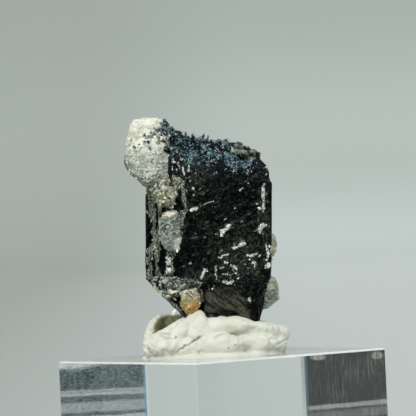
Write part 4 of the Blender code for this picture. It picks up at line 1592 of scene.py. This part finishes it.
    def build(self, ground: Carving) -> dict[str, Carving]:
        """Carve every stone on the crystal and return the carvings by their nodes."""
        carvings = {stone.node: stone.build(ground) for stone in self.stones}
        cap = carvings["feldspar_cap"]
        low = 1.0 - rise(cap.points[:, 2] + 0.6 * wobble(cap.points, 0.7, 23), 33.6, 36.0)
        cap.push(-0.25 - 0.5 * low)
        cap.trim(self.cap_trims)
        return carvings

    def place(self, carvings: dict[str, Carving]) -> None:
        """Put every stone on the object."""
        for stone in self.stones:
            carvings[stone.node].piece(stone.slot, stone.finish, [stone.node])

    def flake(self, ground: Carving, carvings: dict[str, Carving]) -> None:
        """Lay the curled flakes on the two crusts and at the crystal's foot."""
        for flakes in self.flakes:
            flakes.grow(ground, carvings)

    def sprinkle(self, ground: Carving, carvings: dict[str, Carving]) -> None:
        """Lay grains on the stones, and on the crystal's flecks, coat and edges."""
        for grit in self.grit:
            grit.scatter(*self._spread(grit.name, ground, carvings))

    @staticmethod
    def _spread(name: str, ground: Carving, carvings: dict[str, Carving]) -> tuple[Carving, np.ndarray]:
        """Return where some grains lie.

        Args:
            name: The name of the grains' piece.
            ground: The crystal.
            carvings: The stones by their nodes.

        Returns:
            The stone, and how likely a grain is at each of its points.
        """
        cap, upper = carvings["feldspar_cap"], carvings["fluorite_upper"]
        chip, amber = carvings["feldspar_chip"], carvings["fluorite_stained"]
        patchy = {"matrix_upper": 26, "matrix_lower": 27, "feldspar_chip": 28}
        node = name.removesuffix("_grains")
        if name == "cap_grains":
            return cap, rise(cap.points[:, 2], 34.5, 36.0) * (wobble(cap.points, 0.9, 24) > -0.3)
        if name == "upper_grains":
            low = (1.0 - rise(upper.points[:, 2], 33.0, 36.0)) * rise(-upper.normals[:, 1], 0.5, 0.8)
            return upper, low * (wobble(upper.points, 0.8, 25) > 0.0)
        if node in patchy:
            return carvings[node], rise(wobble(carvings[node].points, 1.0, patchy[node]), -0.2, 0.3)
        if name == "fleck_grains":
            flecked = cover_all(FLECKS, ragged(ground.points, 0.13, 40)) * (ground.normals[:, 1] < -0.1)
            return ground, np.maximum(flecked - 0.35, 0.0)
        if name == "coat_grains":
            coated = cover_all(COATED, ground.points) * (1.0 - cover_all(BARE, ground.points))
            return ground, coated * ((ground.normals[:, 1] < -0.05) * (wobble(ground.points, 0.8, 27) > 0.0))
        if name == "amber_grains":
            return amber, rise(amber.points[:, 2] + 0.5 * wobble(amber.points, 0.9, 30), 9.6, 10.8)
        if name == "amber_skin":
            return amber, rise(wobble(amber.points, 1.1, 29), -0.5, 0.3) * (amber.points[:, 2] > 6.8)
        if name == "chip_crest":
            return chip, Patch(3.2, 33.9, 0.7, 0.35, -10).cover(chip.points) ** 2
        low, high = carvings[node].points.min(axis=0) - 0.7, carvings[node].points.max(axis=0) + 0.7
        near = np.all((ground.points > low) & (ground.points < high), axis=1)
        return ground, near * rise(wobble(ground.points, 1.1, 28), -0.4, 0.4)


# Tack


@dataclass(frozen=True)
class Pad:
    """A pressed pad of tack: middle, half sizes, tilt seen from the front, and lean to it."""

    centre: Triple
    half: Triple
    tilt: float = 0.0
    lean: float = 0.0


@dataclass(frozen=True)
class Roll:
    """A rolled rope of tack: the points that it runs through and the radius at each."""

    points: tuple[Triple, ...]
    radii: tuple[float, ...]

    def beads(self) -> list[tuple[Vector, float]]:
        """Return balls along the roll that overlap enough to read as one form."""
        found = []
        stops = list(zip(map(Vector, self.points), self.radii))
        for (start, radius), (end, next_radius) in zip(stops, stops[1:]):
            steps = max(2, round((end - start).length / (0.16 * min(radius, next_radius))))
            for step in range(steps):
                share = step / steps
                found.append((start.lerp(end, share), radius + (next_radius - radius) * share))
        return found + [stops[-1]]


@dataclass(frozen=True)
class TackBed:
    """The thumbed lump of tack, with its curled lip, its ridge and its skirt."""

    voxel: float = 0.17
    rounding: int = 9
    pads: tuple[Pad, ...] = (
        Pad((-0.6, -0.6, 0.0), (11.9, 10.8, 1.5), -2.8),
        Pad((0.6, 0.4, 2.0), (9.6, 7.4, 3.6)),
        Pad((-3.0, -6.4, 3.6), (2.5, 2.2, 3.6)),
        Pad((0.7, -8.0, 2.2), (3.7, 2.1, 2.0)),
        Pad((-5.4, -7.0, 1.6), (3.0, 2.2, 2.2)),
        Pad((-8.4, -4.2, 1.7), (3.0, 4.0, 2.0)),
        Pad((-7.9, 1.4, 4.2), (3.3, 0.9, 3.3), 8.0, 32.0),
        Pad((5.6, -4.2, 2.2), (4.6, 3.4, 2.4)),
        Pad((8.6, -2.6, 2.0), (2.8, 2.8, 2.1)),
        Pad((0.4, 6.8, 3.2), (7.0, 2.8, 3.5)),
        Pad((6.0, 3.4, 2.8), (4.4, 4.2, 3.2)),
    )
    rolls: tuple[Roll, ...] = (
        Roll(
            ((-2.8, -5.8, 6.75), (-4.6, -6.7, 5.5), (-6.4, -7.4, 3.7), (-7.0, -8.2, 1.9)),
            (1.1, 1.25, 1.4, 1.3),
        ),
        Roll(
            ((-2.0, -6.0, 5.2), (-0.4, -6.2, 5.1), (3.4, -6.0, 5.35), (7.6, -4.0, 4.4), (9.9, -1.6, 3.75)),
            (1.4, 1.5, 1.5, 1.65, 1.95),
        ),
        Roll(((3.0, -7.9, 2.4), (6.4, -6.2, 2.7), (9.6, -3.0, 2.8)), (0.9, 0.85, 0.9)),
        Roll(
            ((-3.6, -6.0, 6.0), (-5.6, -5.8, 5.2), (-7.6, -5.2, 4.0), (-9.8, -4.4, 2.9)),
            (1.0, 1.1, 1.1, 1.1),
        ),
        Roll(
            (
                (-10.6, -4.4, 1.2), (-10.8, -3.4, 2.9), (-10.7, -2.2, 4.3), (-10.1, -1.2, 5.5),
                (-9.2, -0.6, 6.4),
                (-8.2, -0.4, 6.8), (-7.0, -0.2, 6.9), (-5.6, 0.2, 6.5),
            ),
            (1.3, 1.15, 1.0, 0.8, 0.58, 0.46, 0.4, 0.38),
        ),
    )
    # Where painted shade darkens the hollow behind the curled lip, seen from the front.
    hollow_shade: Outline = Outline(
        (
            (-10.3, 3.8), (-10.2, 5.2), (-9.6, 6.2), (-8.6, 6.7), (-6.4, 6.8), (-5.2, 6.5), (-6.2, 5.8),
            (-7.6, 5.0),
            (-9.2, 4.1),
        ),
        0.3,
    )
    pits: tuple[Patch, ...] = (
        Patch(0.4, 4.0, 0.8, 0.16, 18, 0.8), Patch(-0.2, 3.6, 0.45, 0.2, 0, 0.6),
        Patch(-8.6, 4.0, 1.0, 0.12, -8, 0.7),
        Patch(-8.4, 3.5, 1.3, 0.12, -14, 0.5), Patch(-6.6, 3.5, 0.14, 0.2, 0, 0.9),
        Patch(10.3, 2.6, 1.0, 0.14, 24, 0.6),
    )
    crumbs: tuple[Patch, ...] = (
        Patch(1.8, 1.9, 0.22, 0.16), Patch(2.9, 2.4, 0.2, 0.16), Patch(3.7, 3.9, 0.14, 0.4, 0, 0.5),
        Patch(-6.5, 3.5, 0.14, 0.2),
    )

    def build(self) -> None:
        """Press the forms together, crease them and put the lump in place."""
        clay = Carving("tack", self._pressed(), self.voxel, self.rounding)
        points = clay.points
        slow = wobble(points, 0.22, 31) * 0.22 + wobble(points, 0.6, 32) * 0.14
        slow += wobble(points, 1.2, 38) * 0.05
        folds = (1.0 - np.minimum(np.abs(wobble(points, (0.3, 0.3, 0.45), 36)), 1.0)) ** 7
        clay.push(slow - 0.2 * folds * rise(wobble(points, 0.3, 37), -0.1, 0.4))
        crease_and_shade = self._crease(clay.points)
        rough = 1.0 + 3.0 * (1.0 - rise(clay.points[:, 0], -10.4, -8.4))
        grit = 0.03 * wobble(clay.points, 1.9, 33) + 0.02 * wobble(clay.points, 4.0, 35)
        clay.push(-0.4 * crease_and_shade + rough * grit)
        clay.paint(
            {
                # Painted shade in the creases and pits, and in the hollow.
                "crease_and_shade": crease_and_shade,
                "hollow_shade": self.hollow_shade.cover(clay.points) * (clay.points[:, 1] > -4.0),
                "crumb": cover_all(self.crumbs, clay.points) * rise(-clay.normals[:, 1], 0.1, 0.3),
            }
        )
        self._flatten(clay)
        clay.piece(Slot.TACK, TackFinish(), ["putty"])

    def _pressed(self) -> bpy.types.Mesh:
        """Lay the pads and rolls together in one mesh."""
        shape = bmesh.new()
        for pad in self.pads:
            ball = bmesh.ops.create_icosphere(shape, subdivisions=4, radius=1.0)["verts"]
            turn = turned(pad.tilt, "Y") @ turned(pad.lean, "X")
            place = Matrix.Translation(pad.centre) @ turn @ Matrix.Diagonal((*pad.half, 1.0))
            bmesh.ops.transform(shape, matrix=place, verts=ball)
        for roll in self.rolls:
            for spot, radius in roll.beads():
                place = Matrix.Translation(spot)
                bmesh.ops.create_icosphere(shape, subdivisions=2, radius=radius, matrix=place)
        return mesh_of("tack forms", shape)

    def _crease(self, points: np.ndarray) -> np.ndarray:
        """Return 1 along the folds that are pressed into the front, and in its pits: the mask dents them and
        paints shade into them.
        """
        shaky = wobble(points, 1.6, 34) * 0.2
        line = np.interp(points[:, 0], (-6.6, -5.0, -2.4), (1.2, 2.2, 3.7))
        fold = 1.0 - rise(np.abs(points[:, 2] - line + shaky), 0.02, 0.26)
        fold *= rise(points[:, 0], -6.7, -5.8) * (1.0 - rise(points[:, 0], -3.0, -2.2))
        return np.maximum(fold, cover_all(self.pits, points)) * (points[:, 1] < 0.0)

    @staticmethod
    def _flatten(clay: Carving) -> None:
        """Press the lump's underside flat on the block."""
        upright = LEANING.inverted() @ Vector((0.0, 0.0, 1.0)) - LEANING.inverted() @ Vector()
        upright.normalize()
        floor = LEANING.inverted() @ Vector((0.0, 0.0, (BLOCK_TOP - 0.05) * MM))
        heights = (clay.points - np.array(floor)) @ np.array(upright)
        below = np.minimum(heights, 0.0)
        clay.points -= below[:, None] * np.array(upright)
        clay.write()


# Stand, lights and camera


class DisplayBlock:
    """The clear block: its own solid, polished."""

    def dress(self) -> None:
        """Give the block its finish."""
        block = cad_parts["display_block"]
        block.data.materials.clear()
        block.data.materials.append(AcrylicFinish().material())


@dataclass(frozen=True)
class Softlight:
    """A wide soft light, even over the whole floor: where it comes from, its width and power."""

    name: str
    comes_from: Triple
    width: float
    power: float
    colour: Colour = (1.0, 1.0, 1.0)

    def build(self) -> None:
        """Hang the light."""
        light = bpy.data.lights.new(self.name, "SUN")
        light.angle = math.radians(self.width)
        light.energy = self.power
        light.color = self.colour
        holder = linked(self.name, light)
        holder.location = self.comes_from
        holder.rotation_euler = Vector(self.comes_from).to_track_quat("Z", "Y").to_euler()
        holder.visible_transmission = False


@dataclass(frozen=True)
class Flag:
    """A dark card that glows with painted reflections, and that only the clear block shows.

    Each band across it has a height in millimetres, a half height, a softness and a share
    of the pale tone. The bands fall by the slope along the card. A smudge has a place along
    it, a height, two half sizes and a share. A blue fringe starts at one place along it and
    is full at another.
    """

    name: str
    away: float
    direction: float
    dark: Colour
    mid: Colour
    pale: Colour
    bands: tuple[tuple[float, float, float, float], ...]
    smudges: tuple[tuple[float, float, float, float, float], ...]
    fringe: Span
    fringe_blue: Colour = (0.11, 0.27, 0.4)
    slope: float = 0.0
    lines: Triple = (3.0, 3.0, 3.0)
    rare: float = 0.42
    width: float = 0.12
    high: float = 0.03

    def build(self) -> None:
        """Stand the card upright, facing the block."""
        shape = bmesh.new()
        bmesh.ops.create_grid(shape, x_segments=1, y_segments=1, size=0.5)
        bmesh.ops.scale(shape, vec=(self.high, self.width, 1.0), verts=shape.verts)
        stand = Matrix.Translation((self.away, 0.0, self.high / 2)) @ turned(90, "Y")
        bmesh.ops.transform(shape, matrix=turned(self.direction, "Z") @ stand, verts=shape.verts)
        mesh = mesh_of(self.name, shape)
        mesh.materials.append(self._finish())
        card = linked(self.name, mesh)
        card.visible_camera = False
        card.visible_diffuse = False
        card.visible_glossy = False
        card.visible_shadow = False

    def _finish(self) -> bpy.types.Material:
        """Return the card's glow: painted reflections, streaked and banded."""
        graph = Graph(self.name)
        _, along, height = graph.axes()
        uneven = (graph.clouds((0.5, 0.12, 0.9), 3.0, 0.6) - 0.5) * 0.7
        level = height + along * self.slope + uneven
        streaks_in_glow = graph.clouds(self.lines, 3.0, 0.7)
        blotches = graph.clouds(0.28, 3.0, 0.6)
        tone = (streaks_in_glow * 0.7 + blotches * 0.3).rise(self.rare, self.rare + 0.15)
        tone = graph.blend(tone, self.dark, self.mid)
        for middle, half, soft, share in self.bands:
            band = (level - (middle - half)).rise(0.0, soft) - (level - (middle + half)).rise(0.0, soft)
            tone = graph.blend(band * share * (streaks_in_glow.rise(0.4, 0.6) * 0.35 + 0.65), tone, self.pale)
        for place, middle, half_along, half_high, share in self.smudges:
            off, up = (along - place) / half_along, (height - middle) / half_high
            spot = (off * off + up * up + uneven * 2.0).rise(1.3, 0.4)
            spot = spot * (streaks_in_glow.rise(0.4, 0.6) * 0.6 + 0.4)
            tone = graph.blend(spot * share, tone, self.pale)
        tone = graph.blend(along.rise(*self.fringe) * 0.8, tone, self.fringe_blue)
        # The card's tones glow: painted reflections that only the block shows.
        return graph.surface(Base_Color=(0.0, 0.0, 0.0), Emission_Color=tone, Emission_Strength=1.0)


@dataclass(frozen=True)
class Studio:
    """A pale round cove, soft lights, two dark glowing cards and the camera."""

    floor_radius: float = 2.2
    bend: float = 0.9
    wall: float = 1.0
    # The cove's tone with painted shade at the left and painted light at the right.
    painted_shade_left: Colour = (0.3, 0.338, 0.316)
    painted_light_right: Colour = (0.465, 0.514, 0.503)
    sky: Colour = (0.97, 0.985, 0.98)
    sky_power: float = 0.35
    softlights: tuple[Softlight, ...] = (
        Softlight("key", (-0.8, -1.1, 0.95), 36.0, 2.1, (1.0, 0.99, 0.965)),
        Softlight("top", (0.0, 0.3, 1.5), 70.0, 0.4),
        Softlight("fill", (0.9, -0.8, 0.6), 60.0, 1.5),
        Softlight("edge_left", (-0.51, 0.63, 0.59), 18.0, 0.22),
        Softlight("edge_right", (0.5, 0.32, 0.81), 16.0, 0.2),
    )
    flags: tuple[Flag, ...] = (
        Flag(
            "flag_right", 0.11, -17.3, (0.01, 0.024, 0.029), (0.11, 0.155, 0.16), (0.54, 0.6, 0.59),
            ((7.4, 0.6, 0.3, 0.5), (4.4, 1.0, 0.6, 0.5), (1.6, 1.1, 0.5, 0.75)),
            smudges=((-25.0, 15.4, 11.0, 3.4, 1.3), (-20.0, 7.2, 9.0, 0.2, 0.5)),
            fringe=(-10.4, -10.0), slope=-0.005, lines=(1.6, 1.6, 4.5),
        ),
        Flag(
            "flag_left", 0.11, 162.4, (0.001, 0.003, 0.004), (0.085, 0.077, 0.058), (0.4, 0.44, 0.42),
            ((5.1, 0.45, 0.45, 0.7), (3.2, 0.9, 0.8, 0.3), (1.2, 0.5, 0.6, 0.55)),
            smudges=((52.9, 12.6, 1.5, 0.6, 0.8), (42.0, 12.4, 1.1, 0.8, 0.6)),
            fringe=(54.85, 55.15), fringe_blue=(0.055, 0.12, 0.16), slope=0.048, lines=(4.0, 4.0, 0.25),
            rare=0.49,
        ),
    )
    lens: float = 307.2
    distance: float = 0.575
    camera_x: float = -0.00089
    camera_above_block: float = 0.0238
    roll: float = 2.8

    def build(self) -> None:
        """Build the cove, the lights, the cards and the camera."""
        self._cove()
        for softlight in self.softlights:
            softlight.build()
        for flag in self.flags:
            flag.build()
        world = bpy.data.worlds.new("studio")
        world.use_nodes = True
        background = world.node_tree.nodes["Background"]
        background.inputs["Color"].default_value = (*self.sky, 1.0)
        background.inputs["Strength"].default_value = self.sky_power
        bpy.context.scene.world = world
        bpy.context.scene.view_settings.view_transform = "Standard"
        self._camera()

    def _cove(self) -> None:
        """Spin the cove's profile: floor, bend and wall."""
        shape = bmesh.new()
        floor = -0.00005
        profile = [(0.0, floor), (0.4, floor), (self.floor_radius, floor)]
        for step in range(1, 9):
            turn = math.radians(90 * step / 8)
            out, up = self.bend * math.sin(turn), self.bend * (1.0 - math.cos(turn))
            profile.append((self.floor_radius + out, floor + up))
        profile.append((self.floor_radius + self.bend, self.wall))
        verts = [shape.verts.new((radius, 0.0, height)) for radius, height in profile]
        edges = [shape.edges.new(pair) for pair in zip(verts, verts[1:])]
        whole = {"axis": (0, 0, 1), "cent": (0, 0, 0), "steps": 96, "angle": math.tau, "use_merge": True}
        bmesh.ops.spin(shape, geom=verts + edges, **whole)
        bmesh.ops.remove_doubles(shape, verts=shape.verts, dist=1e-5)
        mesh = mesh_of("cove", shape)
        mesh.shade_smooth()
        mesh.materials.append(self._paint())
        linked("cove", mesh)

    def _paint(self) -> bpy.types.Material:
        """Return the cove's paint with painted light and shade: paler to the right of the far wall, and
        darker high up.
        """
        graph = Graph("cove paint")
        across, _, height = graph.axes()
        high = height.rise(100.0, 240.0)
        # Painted light and shade: paler to the right, and darker high on the wall.
        side = across.rise(-118.0, 55.0) * (1.0 - height.rise(0.0, 80.0) * 0.55) * (1.0 - high * 0.6)
        tone = graph.blend(side, self.painted_shade_left, self.painted_light_right)
        tone = graph.blend(high * 0.08, tone, (0.0, 0.0, 0.0))
        return graph.surface(Base_Color=tone, Roughness=0.9, Specular_IOR_Level=0.1)

    def _camera(self) -> None:
        """Point a long lens level at the specimen, rolled as the photograph is."""
        lens = bpy.data.cameras.new("camera")
        lens.sensor_width = 36.0
        lens.lens = self.lens
        lens.clip_start = 0.05
        lens.clip_end = 12.0
        camera = linked("camera", lens)
        height = BLOCK_TOP * MM + self.camera_above_block
        camera.matrix_world = (
            Matrix.Translation((self.camera_x, -self.distance, height))
            @ turned(90, "X")
            @ turned(-self.roll, "Z")
        )
        bpy.context.scene.camera = camera


def main() -> None:
    """Build the specimen, its stand and the studio."""
    logging.basicConfig(level=logging.INFO, format="%(name)s %(message)s")
    noise.seed_set(NOISE_SEED)
    schorl = SchorlCrystal()
    ground = schorl.build()
    stones = Stones()
    carvings = stones.build(ground)
    NeedleFelt().build(ground, [carvings["feldspar_cap"], carvings["fluorite_upper"]])
    stones.sprinkle(ground, carvings)
    stones.flake(ground, carvings)
    stones.place(carvings)
    schorl.place(ground)
    TackBed().build()
    DisplayBlock().dress()
    Studio().build()


if __name__ == "__main__":
    main()
